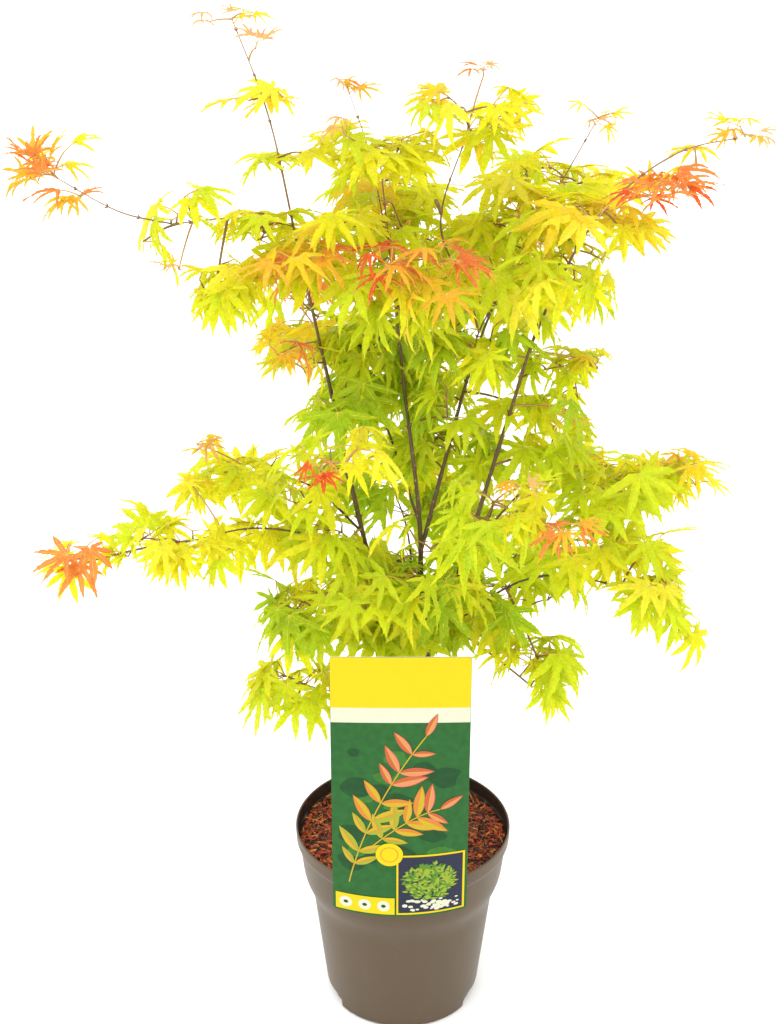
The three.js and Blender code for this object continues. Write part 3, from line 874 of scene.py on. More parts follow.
def smoothLine(points, count=201):
    # a centripetal curve through the points, resampled to equal steps along its length
    points = [np.array(p, float) for p in points]
    line = []
    for share in np.linspace(0, 1, count):
        place = (len(points) - 1) * share
        i = min(int(place), len(points) - 2)
        w = place - i
        p1, p2 = points[i], points[i + 1]
        p0 = points[i - 1] if i > 0 else 2 * p1 - p2
        p3 = points[i + 2] if i + 2 < len(points) else 2 * p2 - p1
        d0, d1, d2 = [max(np.sum((a - b) ** 2) ** 0.25, 1e-4) for a, b in ((p0, p1), (p1, p2), (p2, p3))]
        m1 = ((p1 - p0) / d0 - (p2 - p0) / (d0 + d1) + (p2 - p1) / d1) * d1
        m2 = ((p2 - p1) / d1 - (p3 - p1) / (d1 + d2) + (p3 - p2) / d2) * d1
        line.append(p1 + m1 * w + (-3 * p1 + 3 * p2 - 2 * m1 - m2) * w ** 2
                    + (2 * p1 - 2 * p2 + m1 + m2) * w ** 3)
    line = np.array(line)
    along = np.concatenate([[0], np.cumsum(np.linalg.norm(np.diff(line, axis=0), axis=1))])
    even = np.linspace(0, along[-1], count)
    return np.stack([np.interp(even, along, line[:, k]) for k in range(3)], 1)


def pointAt(line, share):
    spot = share * (len(line) - 1)
    i = min(int(spot), len(line) - 2)
    return line[i] + (line[i + 1] - line[i]) * (spot - i)


limbLines = {}
for limbName, (parent, origin, points, _) in limbs.items():
    limbStart = pointAt(limbLines[parent], origin) if parent else origin
    limbLines[limbName] = smoothLine([limbStart, *points])


def addBuds(buds, rng, line, share, radius):
    # a pair of buds, one on each side of a joint
    b = barkForm
    where = pointAt(line, share)
    ahead = unit(pointAt(line, min(1, share + 0.02)) - where)
    side = unit(np.cross(ahead, unit(rng.normal(0, 1, 3))))
    for way in (-1, 1):
        foot = where + side * way * radius * 0.9
        tip = foot + side * way * b["budOut"] + ahead * b["budUp"]
        sizes = np.array(b["budRadii"]) * (0.6 + 0.25 * radius)
        buds.add(*tube(np.linspace(foot, tip, 4) * mm, sizes * mm, 6))


def addLimb(wood, buds, rng, name):
    # a thinning bar with swollen joints and scars; only the one without a parent has a root flare
    b = barkForm
    parent, _, _, (thick, thin) = limbs[name]
    line = limbLines[name]
    length = np.linalg.norm(np.diff(line, axis=0), axis=1).sum()
    shares = np.linspace(0, b["end"], max(b["fewestRings"], int(length / b["step"])))
    radii = thick + (thin * b["thinTip"] - thick) * shares
    radii *= b["slender"] + (1 - b["slender"]) * np.minimum(1, radii / b["stout"])
    radii *= b["aboveFork"] if parent else 1
    angles = around(b["sides"])
    flare = (0 if parent else b["flare"]) * (1 - shares) ** 4
    ridges = 1 + 0.28 * np.cos(3 * angles + 0.7) + 0.12 * np.cos(5 * angles)
    relief = 1 + flare[:, None] * ridges
    spacing = b["joint"] * b["longSpacing" if length > b["longLimb"] else "shortSpacing"]
    for joint in np.arange(b["joint"] * b["firstJoint"], length, spacing):
        away = shares * length - joint
        relief += b["swelling"] * np.exp(-(away / b["swellingReach"]) ** 2)[:, None]
        relief -= b["scar"] * np.exp(-((away - b["scarAbove"]) / b["scarReach"]) ** 2)[:, None]
        addBuds(buds, rng, line, joint / length, np.interp(joint / length, shares, radii))
    relief += rng.normal(0, b["waver"] / 3, relief.shape)
    waves = shares[:, None] * length / b["waverLength"] + 2 * angles
    relief += b["waver"] * np.sin(waves + rng.uniform(0, 6))
    centres = np.array([pointAt(line, s) for s in shares])
    wood.add(*tube(centres * mm, radii * mm, b["sides"], relief))


def buildLimbs():
    b = barkForm
    rng = np.random.default_rng(b["seed"])
    wood, buds = Heap(), Heap()
    for name in limbs:
        addLimb(wood, buds, rng, name)
    # a short stub beside the middle fork
    at = pointAt(limbLines["centre_fork"], b["stubShare"])
    tip = at + unit(np.array(b["stubLean"])) * b["stubLength"]
    wood.add(*tube(np.linspace(at, tip, 6) * mm, np.array(b["stubRadii"]) * mm, 10))
    wood.build("stemsAndBoughs", barkMaterial(), "bark", list(limbs))
    buds.build("buds", budRed, "bark", list(limbs))


buildLimbs()
print("stage: stems and boughs grown")

# palmate blades with long toothed lobes
leafForm = {
    "lobeAngles": (0, 35, 71, 112), "lobeLengths": (1.0, 0.97, 0.82, 0.5), "sinus": 0.28,
    "fiveSpread": 1.12, "outerSinus": 0.22, "outerTurn": 30,   # for five lobes; beside the last lobes
    "stations": (0.24, 0.40, 0.52, 0.64, 0.76, 0.88, 1.0),     # along a lobe
    "notchWidths": (0.080, 0.087, 0.074, 0.047, 0.018),        # at the inner stations
    "teeth": (0.385, 0.505, 0.625, 0.745, 0.862), "toothWidths": (0.088, 0.104, 0.094, 0.065, 0.031),
    "midribRadius": (0.34, 0.08),                              # millimetres, at the base and at the tip
}
leafRanges = {
    "young": {"sevenLobes": 0.35, "fall": (-6, 8), "droop": (24, 68), "fold": (22, 42), "slim": (0.66, 0.84),
              "sinus": (0.75, 1.0)},
    "full": {"sevenLobes": 0.75, "fall": (-6, 8), "droop": (10, 50), "fold": (4, 28), "slim": (0.82, 1.12),
             "sinus": (0.85, 1.2)},
}
lobeShares = sorted({0.0, *leafForm["stations"], *leafForm["teeth"]})
stationAt = [lobeShares.index(share) for share in leafForm["stations"]]
toothAt = [lobeShares.index(share) for share in leafForm["teeth"]]


def leafShape(rng, young):
    ranges = leafRanges["young" if young else "full"]
    shape = {"lobes": 7 if rng.random() < ranges["sevenLobes"] else 5}
    for key in ("fall", "droop", "fold", "slim", "sinus"):
        shape[key] = rng.uniform(*ranges[key])
    return shape


def lobeCurve(rng, angle, length, shape):
    # midrib places, widthways and upwards directions at each share along a lobe
    shares = np.array(lobeShares)
    swing = math.radians(rng.normal(0, 7)) + math.radians(angle) * 0.06
    turn = math.radians(angle) + swing * shares ** 2
    fall = math.radians(shape["fall"]) + math.radians(shape["droop"] * rng.uniform(0.7, 1.3)) * shares ** 1.4
    steps = np.diff(shares, prepend=0.0) * length
    heading = np.stack([np.sin(turn) * np.cos(fall), np.cos(turn) * np.cos(fall), -np.sin(fall)], 1)
    places = np.cumsum(heading * steps[:, None], axis=0)
    upwards = np.stack([np.sin(turn) * np.sin(fall), np.cos(turn) * np.sin(fall), np.cos(fall)], 1)
    aside = np.cross(heading, upwards)
    twist = rng.normal(0, 0.22) * shares[:, None] ** 2
    aside, upwards = (aside * np.cos(twist) + upwards * np.sin(twist),
                      upwards * np.cos(twist) - aside * np.sin(twist))
    return places, aside, upwards


def halfLobeFaces(root, rib, sinus, teeth, notches, side):
    # from the stalk to the tip, between the midrib and the margin on one side
    faces = [(root, rib[0], sinus), (sinus, rib[0], teeth[0]), (rib[0], rib[1], teeth[0]),
             (teeth[0], rib[1], notches[0])]
    for j in range(1, 5):
        faces += [(notches[j - 1], rib[j], teeth[j]), (rib[j], rib[j + 1], teeth[j]),
                  (teeth[j], rib[j + 1], notches[j])]
    faces.append((notches[4], rib[5], rib[6]))
    return faces if side < 0 else [(a, c, b) for a, b, c in faces]


def makeLeaf(rng, size, shape):
    # places, faces, faces of the lobe tips and leaf coordinates of a blade, and the lines of its midribs
    form = leafForm
    half, spread = shape["lobes"] // 2, form["fiveSpread"] if shape["lobes"] == 5 else 1
    lobes = {}
    for k in range(-half, half + 1):
        angle = math.copysign(form["lobeAngles"][abs(k)], k) * spread
        length = size * form["lobeLengths"][abs(k)] * rng.uniform(0.88, 1.08)
        lobes[k] = (angle, length, *lobeCurve(rng, angle + rng.normal(0, 3), length, shape))
    places, spots, faces, tips, ribs = [], [], [], [], []

    def put(point, u, v):
        places.append(point)
        spots.append((u, v))
        return len(places) - 1

    def sinusPoint(k, side):
        # the foot of the gap beside a lobe
        angle, length = lobes[k][:2]
        if k + side in lobes:
            otherAngle, otherLength = lobes[k + side][:2]
            turn = math.radians((angle + otherAngle) / 2)
            far = form["sinus"] * (length + otherLength) / 2 * shape["sinus"]
        else:
            turn = math.radians(angle + side * form["outerTurn"])
            far = form["outerSinus"] * length
        lift = 0.02 * size - far * math.sin(math.radians(shape["fall"]))
        return np.array([math.sin(turn) * far, math.cos(turn) * far, lift])

    for k, (_, length, mid, aside, upwards) in lobes.items():
        ribs.append(mid[[0, *stationAt]])
        for side in (-1, 1):
            fold = math.radians(shape["fold"] * rng.uniform(0.6, 1.4))

            def margin(i, width):
                out = aside[i] * side * math.cos(fold) + upwards[i] * math.sin(fold)
                ripple = upwards[i] * rng.normal(0, 0.012) * length
                spot = mid[i] + out * width * length * shape["slim"] + ripple
                return put(spot, 0.5 + side * width * 3.2, lobeShares[i])

            root = put(np.zeros(3), 0.5, 0.0)
            rib = [put(mid[i], 0.5, lobeShares[i]) for i in stationAt]
            sinus = put(sinusPoint(k, side), 0.5 + side * 0.32, form["sinus"])
            teeth = [margin(i, width) for i, width in zip(toothAt, form["toothWidths"])]
            notches = [margin(i, width) for i, width in zip(stationAt[1:6], form["notchWidths"])]
            blade = halfLobeFaces(root, rib, sinus, teeth, notches, side)
            faces += blade[:13]
            tips += blade[13:]
    return np.array(places), faces, tips, np.array(spots), ribs


def leafAxes(outwards, tilt, roll, bias):
    # columns are the blade's right, forward and upper directions
    forward = outwards * math.cos(tilt) - up * math.sin(tilt)
    upper = outwards * math.sin(tilt) + up * math.cos(tilt)
    right = np.cross(forward, upper)
    upper = upper * math.cos(roll) + right * math.sin(roll)
    upper = unit(upper + bias)
    forward = unit(forward - upper * (forward @ upper))
    return np.stack([np.cross(forward, upper), forward, upper], 1)


leafHeaps = {name: Heap() for name in leafColours}
ribHeaps = {name: Heap() for name in ribMaterials}
stalks, brownTwigs, redTwigs = Heap(), Heap(), Heap()
warmTints = ("gold", "amber", "coral", "rose", "flame")
tipTints = {"green": "lime", "lime": "bright", "bright": "lemon", "lemon": "gold", "gold": "lemon",
            "amber": "gold", "coral": "amber", "rose": "amber", "flame": "coral"}
grown = {"leaves": 0, "dropped": 0}
cadLow, cadHigh = np.array(cadBox[0]) / mm, np.array(cadBox[1]) / mm
room = {"over": 6.0, "cardSide": (-66, 60), "cardTop": 404, "cardDepth": -80, "lowest": 262}

# open places in the crown: across, height and radius where they meet the plane through the stems
openings = np.array([
    (172, 580, 28), (198, 670, 27), (185, 634, 25), (261, 408, 28), (-206, 523, 26), (-192, 656, 26),
    (-146, 380, 26), (88, 296, 21), (-120, 567, 26), (-65, 761, 11), (166, 370, 21), (-87, 589, 14),
    (-68, 826, 16), (-143, 606, 26), (128, 384, 12), (172, 690, 13), (-237, 408, 20), (-140, 788, 26),
    (26, 765, 9), (-119, 745, 10), (96, 321, 11), (-96, 749, 13), (-8, 811, 13), (217, 567, 27),
    (-180, 567, 26), (-228, 726, 20), (48, 826, 11), (115, 380, 10), (-133, 413, 9), (165, 399, 9),
    (-126, 627, 10), (-170, 720, 8), (-126, 704, 8), (-92, 653, 8), (135, 643, 9), (78, 584, 8),
    (84, 518, 8), (-9, 448, 8), (-134, 481, 6), (56, 740, 5), (26, 466, 6), (-35, 664, 6),
    (102, 590, 6), (-153, 703, 11), (229, 709, 24), (-186, 396, 17), (-66, 377, 5), (45, 423, 5),
    (15, 722, 5), (5, 567, 5), (-57, 603, 5),
], float)
# the stretches of stem that no leaf hides from the front: limb, first and last share
bareStems = [
    ("leader", 0.49, 0.63), ("leader", 0.25, 0.34), ("centre_stem", 0.27, 0.34), ("centre_stem", 0.38, 0.47),
    ("centre_stem", 0.53, 0.6), ("centre_stem", 0.63, 0.68), ("right_centre_stem", 0.07, 0.22),
    ("right_centre_stem", 0.3, 0.4), ("right_centre_stem", 0.47, 0.53), ("right_stem", 0.5, 0.59),
    ("right_stem", 0.32, 0.43), ("right_stem", 0.15, 0.2),
]
# accents that show at the front: across, height and radius on that plane, and their depth
accentSights = np.array([(-69, 519, 14, -150), (136, 464, 18, -138)], float)
# how much taller than wide an opening is, and the share of a leaf that may lie over one; how near
# a leaf may come to a bare stem, and with how many points; how far behind an accent a leaf still
# counts, and the share of it that may lie over one
sightForm = {"openTall": 1.11, "openShare": 0.08, "stemGap": 2.8, "stemPoints": 4, "accentDepth": 30,
             "accentShare": 0.04}
eye = np.array(view["place"]) / mm


def onPlane(places):
    # where lines of sight through the places meet the plane through the stems
    return (eye + (places - eye) * (-eye[1] / (places[:, 1] - eye[1]))[:, None])[:, (0, 2)]


def openShare(places):
    away = (onPlane(places)[:, None] - openings[:, :2]) / (openings[:, 2:] * (1, sightForm["openTall"]))
    return ((away ** 2).sum(2) < 1).any(1).mean()


stemSights = [(onPlane(piece), piece[:, 1]) for piece in
              (limbLines[name][int(200 * first):int(200 * last):2] for name, first, last in bareStems)]


def hidesStem(places):
    spots, depths = onPlane(places)[:, None], places[:, 1][:, None]
    for sight, depth in stemSights:
        near = np.linalg.norm(spots - sight, axis=2) < sightForm["stemGap"]
        if (near & (depths < depth)).any(1).sum() > sightForm["stemPoints"]:
            return True
    return False


def hidesAccent(places):
    away = (onPlane(places)[:, None] - accentSights[:, :2]) / accentSights[:, 2:3]
    ahead = places[:, 1][:, None] < accentSights[:, 3] + sightForm["accentDepth"]
    return (((away ** 2).sum(2) < 1) & ahead).any(1).mean() > sightForm["accentShare"]


def fits(places):
    # inside the plant's box, clear of the card and above the pot
    if (places < cadLow - room["over"]).any() or (places > cadHigh + room["over"]).any():
        return False
    x, y, z = places.T
    near = (x > room["cardSide"][0]) & (x < room["cardSide"][1]) & (z < room["cardTop"])
    return z.min() >= room["lowest"] and not (near & (y < room["cardDepth"])).any()


def hasRoom(places, plan):
    if (np.abs(places - plan["centre"]) > plan["limit"]).any() or not fits(places):
        return False
    if openShare(places) >= sightForm["openShare"] or hidesStem(places):
        return False
    return plan["accent"] or not hidesAccent(places)


def growLeaf(rng, node, outwards, plan):
    # one leaf on its stalk, from a node, shrunk or turned until it has room
    size, young = plan["size"] * rng.uniform(0.84, 1.26), plan["young"]
    stalk = size * rng.uniform(0.3, 0.62)
    for attempt in range(sprayForm["leafTries"]):
        lean = unit(outwards + up * rng.uniform(0.05, 0.5) + rng.normal(0, 0.15 + 0.03 * attempt, 3))
        foot = node + lean * stalk
        heading = unit((outwards + rng.normal(0, 0.25 + 0.05 * attempt, 3)) * (1, plan["depthways"], 0))
        tilt = math.radians(plan["tilt"] + 6 - 20 * young + rng.normal(0, 15 + 8 * young))
        shape = leafShape(rng, young)
        bias = toViewer * rng.uniform(0.0, plan["facing"]) + up * 0.15
        axes = leafAxes(heading, tilt, math.radians(rng.normal(0, 16)), bias)
        places, faces, tips, spots, ribs = makeLeaf(rng, size, shape)
        places = places @ axes.T + foot
        if hasRoom(places, plan):
            break
        size *= 0.97
        stalk *= 0.88
    else:
        grown["dropped"] += 1
        return False
    ownTint, tints = rng.random() < sprayForm["ownTint"], plan["tints"]
    tint = plan["tint"] if ownTint else tints[rng.integers(len(tints))]
    leafHeaps[tint].add(places * mm, faces, spots)
    leafHeaps[tipTints[tint] if rng.random() < plan["tipped"] else tint].add(places * mm, tips, spots)
    stalkLine = arc(node, foot, 0.12 * stalk, 6)
    stalks.add(*tube(stalkLine * mm, np.linspace(0.6, 0.45, 6) * mm * min(1, size / 30), 5))
    for rib in ribs:
        path = rib[[0, 2, 4, 6, 7]] @ axes.T + foot
        thick = np.linspace(*leafForm["midribRadius"], len(path)) * size / 38
        ribHeaps["warm" if tint in warmTints else "pale"].add(*tube(path * mm, thick * mm, 3))
    grown["leaves"] += 1
    return True


# each spray: its limb, number of leaves, their size, their tilt and their tints
sprays = {
    "leader_tip": ("leader", 7, 16, 0, "rose gold rose gold"),
    "leader_pair_upper": ("leader", 7, 38, 0, "bright gold lemon"),
    "leader_pair_lower": ("leader", 9, 44, -2, "lime bright lemon"),
    "left_tip": ("left_upper_end", 9, 25, -6, "coral gold amber bright"),
    "left_mid": ("left_upper_bough", 7, 42, 66, "bright lime lemon"),
    "left_upper": ("left_upper_bough", 14, 36, 18, "lime bright lemon"),
    "upper_left": ("leader", 20, 37, 36, "lime bright gold lime bright lemon"),
    "left_spray": ("left_upper_bough", 17, 36, 38, "bright lemon lime bright"),
    "left_inner": ("leader", 12, 34, 20, "bright lime lemon"),
    "centre_top_left": ("centre_stem", 19, 40, 16, "bright lemon bright lime"),
    "top_shoot_leaves": ("top_shoot", 7, 18, 15, "amber coral rose"),
    "centre_top": ("centre_fork", 18, 32, 14, "bright lime gold lemon bright lime"),
    "centre_front": ("centre_stem", 22, 37, 40, "lime gold bright lime bright lime"),
    "right_top": ("right_centre_stem", 30, 36, 13, "bright lime lemon bright"),
    "top_right_tip": ("right_centre_stem", 6, 17, 8, "rose gold lemon"),
    "right_upper": ("right_stem", 32, 38, 30, "bright lime lime lemon"),
    "right_side": ("right_stem", 15, 28, -2, "coral flame gold coral"),
    "right_tip": ("right_stem", 9, 19, 8, "amber rose gold"),
    "centre_mid_left": ("centre_stem", 30, 38, 36, "lime green bright lime green"),
    "centre_mid": ("right_stem", 34, 38, 34, "lime bright green lime"),
    "right_mid": ("right_stem", 24, 36, 30, "lime bright lime green"),
    "left_low_upper": ("left_back_bough", 24, 35, 16, "bright lime bright lemon"),
    "left_low": ("left_low_bough", 23, 36, 28, "bright lemon bright lime"),
    "left_low_tip": ("left_low_bough", 9, 31, 20, "coral bright lemon bright"),
    "lower_left": ("leader", 30, 38, 42, "lime green bright green lime"),
    "lower_left_hang": ("lower_left_shoot", 15, 40, 48, "bright lime"),
    "lower_centre": ("centre_stem", 32, 38, 38, "green lime lime bright"),
    "lower_right": ("right_stem", 32, 38, 40, "lime green green lime bright"),
    "right_low_upper": ("right_mid_bough", 34, 36, 22, "lime bright lime lemon lime gold"),
    "right_low_far": ("right_low_bough", 22, 38, 40, "bright lime lemon"),
    "lower_right_hang": ("right_stem", 14, 36, 40, "lime bright"),
    "front_left": ("front_left_bough", 16, 35, 34, "bright lime bright lime lime lemon"),
    "front_right": ("front_right_bough", 22, 37, 36, "lime green bright lime lime bright lime"),
    "back_low": ("back_low_bough", 28, 38, 34, "lime green bright"),
    "back_left": ("back_left_bough", 27, 38, 30, "lime bright green gold lime"),
    "back_right": ("back_right_bough", 28, 38, 30, "lime bright green lime bright gold"),
    "back_top": ("back_top_bough", 24, 37, 20, "bright lime gold bright lime"),
}
youngSprays = ("leader_tip", "left_tip", "top_shoot_leaves", "top_right_tip", "right_side", "right_tip")
# small sprays between the masses, and young shoots: also their middle and half sizes in millimetres
innerSprays = {
    "innerUpperLeft": ("leader", 6, 35, 28, "lime bright", (-109, -10, 731), (24, 30, 14)),
    "innerCentreUpper": ("centre_stem", 15, 37, 26, "lime bright lime", (-4, 40, 715), (36, 36, 22)),
    "innerCentreHigh": ("centre_stem", 10, 36, 34, "lime bright gold", (-25, -20, 698), (36, 34, 20)),
    "innerRightHigh": ("right_centre_stem", 20, 37, 26, "bright lime", (70, 50, 701), (42, 38, 28)),
    "innerRight": ("right_stem", 12, 37, 34, "lime bright", (76, -14, 692), (40, 34, 20)),
    "innerMid": ("right_centre_stem", 24, 37, 34, "green lime lime", (23, 30, 575), (46, 42, 26)),
    "innerMidLeft": ("leader", 13, 36, 32, "green lime", (-42, -10, 584), (28, 30, 24)),
    "innerCore": ("right_centre_stem", 30, 37, 36, "green lime lime", (30, 40, 517), (58, 48, 26)),
    "innerCoreRight": ("right_stem", 13, 37, 32, "lime bright", (118, 20, 529), (38, 38, 22)),
    "innerLeftShoulder": ("left_low_bough", 13, 36, 26, "lime bright lemon", (-114, 20, 444), (36, 38, 20)),
    "innerLowLeft": ("leader", 19, 37, 34, "lime bright", (-48, -20, 460), (42, 38, 22)),
    "innerLow": ("centre_stem", 17, 37, 34, "green lime", (-5, 30, 421), (34, 34, 20)),
    "innerLowRight": ("right_stem", 16, 38, 32, "lime green lime", (81, 20, 437), (48, 42, 24)),
    "innerRightShoulder": ("right_low_bough", 19, 38, 32, "lime bright", (150, -16, 456), (46, 42, 22)),
    "innerRightFar": ("right_low_bough", 8, 36, 30, "bright lime", (190, -30, 458), (26, 30, 18)),
    "innerLeftMid": ("leader", 11, 36, 28, "bright lime", (-84, -20, 500), (36, 34, 20)),
    "innerAboveCard": ("centre_stem", 24, 38, 32, "lime green lime", (5, -20, 384), (54, 38, 16)),
    "accentLeft": ("leader", 9, 31, 34, "coral gold amber coral", (-79, -50, 712), (32, 14, 12)),
    "accentCentre": ("centre_stem", 8, 29, 30, "coral flame amber", (-14, -66, 716), (24, 12, 10)),
    "accentCentreRight": ("centre_stem", 6, 26, 16, "coral amber", (28, -66, 720), (18, 12, 8)),
    "accentCentreLow": ("centre_stem", 4, 36, 44, "gold amber", (20, -78, 692), (16, 10, 8)),
    "accentInnerLeft": ("leader", 6, 24, 14, "coral gold amber", (-98, -40, 636), (28, 12, 8)),
    "accentFront": ("front_left_bough", 5, 18, 66, "flame coral", (-64, -150, 589), (5, 4, 4)),
    "accentRight": ("front_right_bough", 7, 25, 14, "coral amber", (119, -138, 530), (24, 8, 6)),
    "accentRightEnd": ("right_mid_bough", 7, 27, 18, "gold amber lemon", (228, 22, 508), (26, 16, 10)),
    "accentStemRight": ("right_stem", 2, 27, 16, "gold amber", (218, -20, 778), (12, 8, 5)),
    "accentTop": ("centre_fork", 4, 31, -30, "lemon gold", (64, -12, 800), (10, 10, 18)),
    "accentTopLeft": ("centre_stem", 2, 20, 20, "rose amber", (-46, -10, 800), (7, 7, 6)),
    "accentBack": ("back_top_bough", 7, 29, 24, "amber coral gold", (-26, 132, 700), (26, 14, 12)),
    "accentBackLeft": ("back_left_bough", 6, 28, 24, "coral amber", (-84, 160, 612), (22, 12, 10)),
    "accentBackRight": ("back_right_bough", 6, 28, 24, "gold amber coral", (96, 172, 640), (22, 12, 10)),
    "accentTip": ("left_upper_end", 7, 24, 20, "amber gold coral lemon", (-242, -36, 758), (14, 10, 7)),
    "accentTipUp": ("left_upper_end", 5, 25, -60, "coral amber", (-274, -40, 788), (8, 8, 8)),
    "fillLeftHang": ("left_upper_bough", 2, 42, 76, "bright lemon", (-200, -12, 718), (6, 6, 8)),
    "fillCentreLeft": ("centre_stem", 6, 37, 20, "bright gold", (-47, -20, 731), (26, 16, 8)),
    "fillLeader": ("leader", 6, 35, 44, "lime green", (-57, -30, 584), (14, 18, 16)),
    "fillRightTop": ("right_stem", 12, 38, 30, "gold bright lemon", (139, -10, 735), (42, 22, 14)),
    "fillRightUpper": ("right_centre_stem", 10, 37, 24, "bright lime gold", (94, 10, 728), (34, 24, 12)),
    "fillFrontLow": ("centre_stem", 11, 38, 38, "bright lime bright", (18, -62, 420), (42, 18, 20)),
    "fillFrontLowLeft": ("leader", 8, 38, 40, "bright lime", (-30, -62, 424), (34, 18, 18)),
    "fillRightLow": ("right_low_bough", 9, 36, 36, "lime bright", (111, -40, 368), (26, 20, 14)),
    "fillRightShoulder": ("right_mid_bough", 16, 37, 24, "lime bright", (172, -10, 503), (38, 28, 16)),
    "fillRightTip": ("right_low_bough", 3, 34, 56, "bright lemon gold", (226, -52, 398), (12, 12, 8)),
    "fillMidRight": ("right_centre_stem", 8, 36, 30, "lime bright", (88, 10, 576), (24, 24, 14)),
    "fillRightNear": ("right_stem", 5, 32, 30, "lemon gold bright", (166, -14, 724), (12, 12, 6)),
    "fillRightDiagonal": ("right_low_bough", 6, 35, 50, "lemon bright lime", (216, -50, 420), (20, 14, 10)),
    "fillCore": ("centre_stem", 16, 37, 36, "lime green lime", (34, -20, 580), (36, 30, 24)),
    "fillBackCore": ("back_left_bough", 18, 38, 32, "lime green bright", (-24, 84, 560), (62, 34, 24)),
    "fillBackHigh": ("back_right_bough", 16, 37, 28, "lime bright", (44, 104, 672), (52, 34, 20)),
    "fillBackLow": ("back_low_bough", 18, 38, 34, "lime green", (22, 78, 430), (58, 38, 22)),
    "fillBackTrunk": ("trunk", 10, 38, 36, "lime green", (10, 52, 366), (44, 30, 18)),
    "fillFrontMid": ("front_right_bough", 12, 37, 34, "lime bright", (20, -96, 500), (50, 22, 18)),
    "shootHigh": ("centre_fork", 4, 16, 0, "coral rose", (58, 0, 842), (8, 8, 5)),
    "shootMiddle": ("centre_fork", 4, 15, 0, "rose gold", (84, 10, 815), (8, 8, 5)),
    "shootLeader": ("leader", 3, 17, 0, "rose gold", (-112, 16, 858), (10, 8, 5)),
    "shootRight": ("right_stem", 5, 21, 10, "amber gold", (134, -14, 577), (12, 12, 6)),
    "shootRightUpper": ("right_stem", 4, 22, 10, "lemon gold", (152, -4, 614), (12, 12, 6)),
    "shootLeft": ("left_upper_bough", 4, 15, 5, "rose gold", (-172, -30, 701), (9, 9, 5)),
    "shootLowLeft": ("left_back_bough", 4, 20, 5, "gold rose", (-172, 38, 526), (10, 12, 5)),
    "shootLowLeftFront": ("left_low_bough", 5, 20, 8, "lemon gold", (-176, 16, 500), (10, 12, 5)),
    "shootLowRight": ("right_mid_bough", 5, 24, 10, "gold lemon", (246, 44, 486), (10, 12, 6)),
    "shootBack": ("back_right_bough", 5, 20, 6, "amber rose", (118, 176, 654), (10, 10, 6)),
    "shootBackLeft": ("back_left_bough", 5, 20, 6, "coral gold", (-106, 160, 622), (10, 10, 6)),
    "shootFront": ("front_right_bough", 4, 18, 6, "amber rose", (82, -148, 572), (10, 8, 5)),
    "fillLeftFlap": ("left_upper_bough", 3, 36, 8, "bright lemon lime", (-168, -10, 750), (12, 8, 5)),
}
sprayForm = {
    "seed": 77, "leavesPerNode": 2.3, "inset": 0.62, "over": 1.12, "twig": (0.95, 0.55), "woodReach": 1.05,
    "leafTries": 12, "nodeTries": 6, "ownTint": 0.88, "redTwigs": 0.2, "reachRadii": (1.15, 0.8),
    "youngReachRadii": (0.85, 0.55), "smallLeaf": 30,
}


def reachTwig(line, centre, half, young):
    # path and shape of a twig to a spray that its limb doesn't touch
    away = np.linalg.norm((line - centre) * (1, 1, 0.7), axis=1)
    nearest = int(away.argmin())
    # it leaves the limb further back, so that it grows outwards
    back = int(0.4 * min(away[nearest], 40) / np.linalg.norm(line[1] - line[0]))
    path = arc(line[max(0, nearest - back)], centre - up * 0.3 * half[2], 5, 9)
    thick = np.linspace(*sprayForm["youngReachRadii" if young else "reachRadii"], 9)
    return path, tube(path * mm, thick * mm, 7)


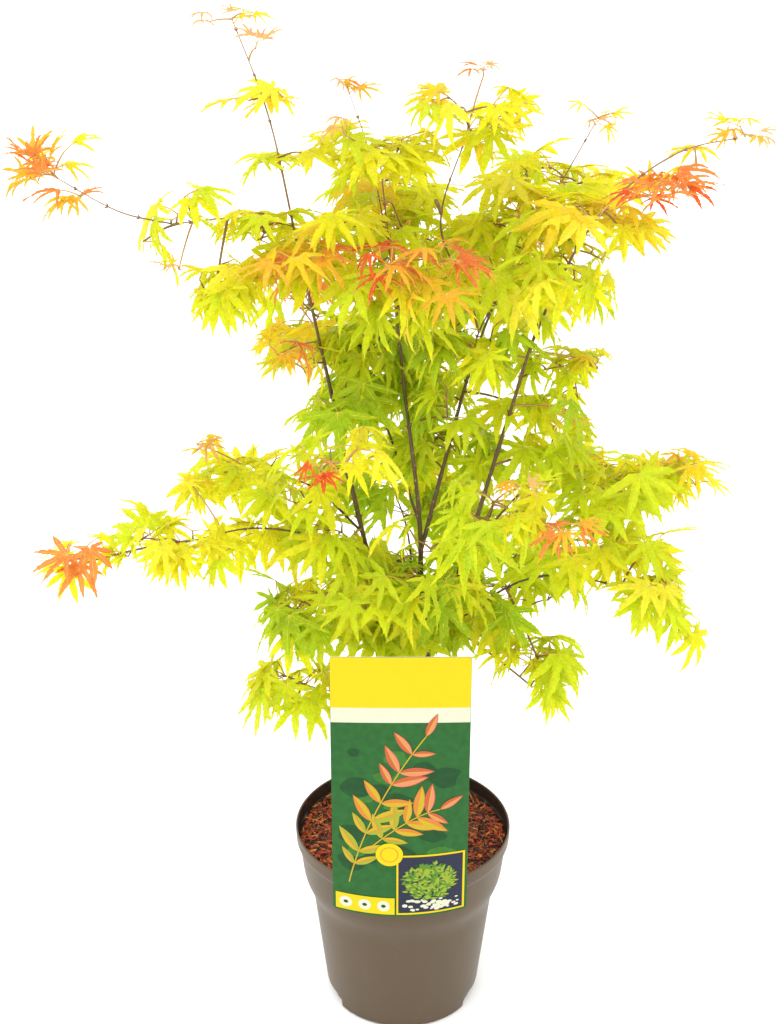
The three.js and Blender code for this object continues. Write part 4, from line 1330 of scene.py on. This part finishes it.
def growSpray(name, plan, number):
    # nodes spread through the mass, each on a twig from the nearest wood, with up to four leaves
    s = sprayForm
    limb, leaves, size, tilt, tints, *box = plan
    rng = np.random.default_rng([s["seed"], number])
    if box:
        centre, half = np.array(box, float)
        limit = half + size * (1.3 if size < s["smallLeaf"] else 1.0)
    else:
        low, high = [np.array(corner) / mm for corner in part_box("leaves_" + name)]
        centre, half = (low + high) / 2, (high - low) / 2
        limit = np.array([1.1, 1.25, 1.0]) * half + (10, 14, 22)
    young, accent = name in youngSprays or name.startswith(("shoot", "accent")), "accent" in name
    line = limbLines[limb]
    inside = line[(((line - centre) / (half * s["woodReach"])) ** 2).sum(1) < 1]
    wood = list(inside[:: max(1, len(inside) // 8)])
    reach = None
    if not wood:
        path, reach = reachTwig(line, centre, half, young)
        wood = list(path[5:])
    inset = np.array([1.3, 1.3, 0]) * s["inset"] * size
    spread = np.maximum(half * (0.3, 0.3, 1), half * s["over"] - inset)
    leafPlan = {
        "size": size, "tilt": tilt, "tints": tints.split(), "young": young, "centre": centre, "limit": limit,
        "accent": accent, "tipped": 0.65 if accent else 0.25, "depthways": 0.4 if "pair" in name else 1.0,
        "facing": float(np.interp(centre[2], (560, 760), (0.55, 0.1))),
    }
    nodes = max(2, round(leaves / s["leavesPerNode"]))
    turn, left = rng.uniform(0, fullTurn), leaves
    for i in range(nodes):
        far = math.sqrt((i + 0.6) / nodes)
        for attempt in range(s["nodeTries"]):
            across = polar(far, turn + (i + 0.31 * attempt) * goldenAngle)
            target = centre + spread * (*across, rng.uniform(-0.35, 0.62))
            if openShare(target[None]) == 0:
                break
        if i == 0 and (np.abs(line[-1] - centre) < half).all():
            target = pointAt(line, barkForm["end"])
        base = min(wood, key=lambda p: np.linalg.norm(p - target) + 0.3 * max(0, p[2] - target[2]))
        gap = np.linalg.norm(target - base)
        twig = arc(base, target, 0.14 * gap, 8, rng.normal(0, 0.05 * gap, 3))
        heap = redTwigs if young or rng.random() < s["redTwigs"] else brownTwigs
        outer = (target - centre) / half * (1, 1, 0)
        ahead = unit(((twig[-1] - twig[-3]) + 1e-6) * (1, 1, 0))
        flat = unit(ahead * 0.6 + outer + rng.normal(0, 0.1, 3) * (1, 1, 0))
        aside = np.array([-flat[1], flat[0], 0])
        leafPlan["tint"] = leafPlan["tints"][i % len(leafPlan["tints"])]
        count = min(left, (3, 2)[i % 2] if i < nodes - 1 else 4)
        ways = (aside * 0.9 + flat * 0.5, -aside * 0.9 + flat * 0.5, flat, flat * 0.2 - aside)[:count]
        if sum(growLeaf(rng, target, unit(way), leafPlan) for way in ways):
            heap.add(*tube(twig * mm, np.linspace(*s["twig"], 8) * mm * (0.8 if young else 1), 6))
            if reach:
                (redTwigs if young else brownTwigs).add(*reach)
                reach = None
            wood += list(twig[4:])
        left -= count
        if left <= 0:
            break


for number, (sprayName, sprayPlan) in enumerate({**sprays, **innerSprays}.items()):
    growSpray(sprayName, sprayPlan, number)

massNames = [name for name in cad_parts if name.startswith("leaves_")]
slots = {"green": "leaves_green", "amber": "leaves_orange", "coral": "leaves_orange", "rose": "leaves_orange",
         "flame": "leaves_orange"}
for tintName, heap in leafHeaps.items():
    heap.build("leaves_" + tintName, leafMaterials[tintName], slots.get(tintName, "leaves_lime"), massNames)
ribHeaps["pale"].build("paleMidribs", ribMaterials["pale"], "leaves_lime", massNames)
ribHeaps["warm"].build("warmMidribs", ribMaterials["warm"], "leaves_orange", massNames)
stalks.build("leafStalks", stalkGreen, "leaves_lime", massNames)
brownTwigs.build("brownTwigs", twigBrown, "bark", massNames)
redTwigs.build("youngShoots", twigRed, "bark", massNames)
print("stage: foliage grown,", grown)
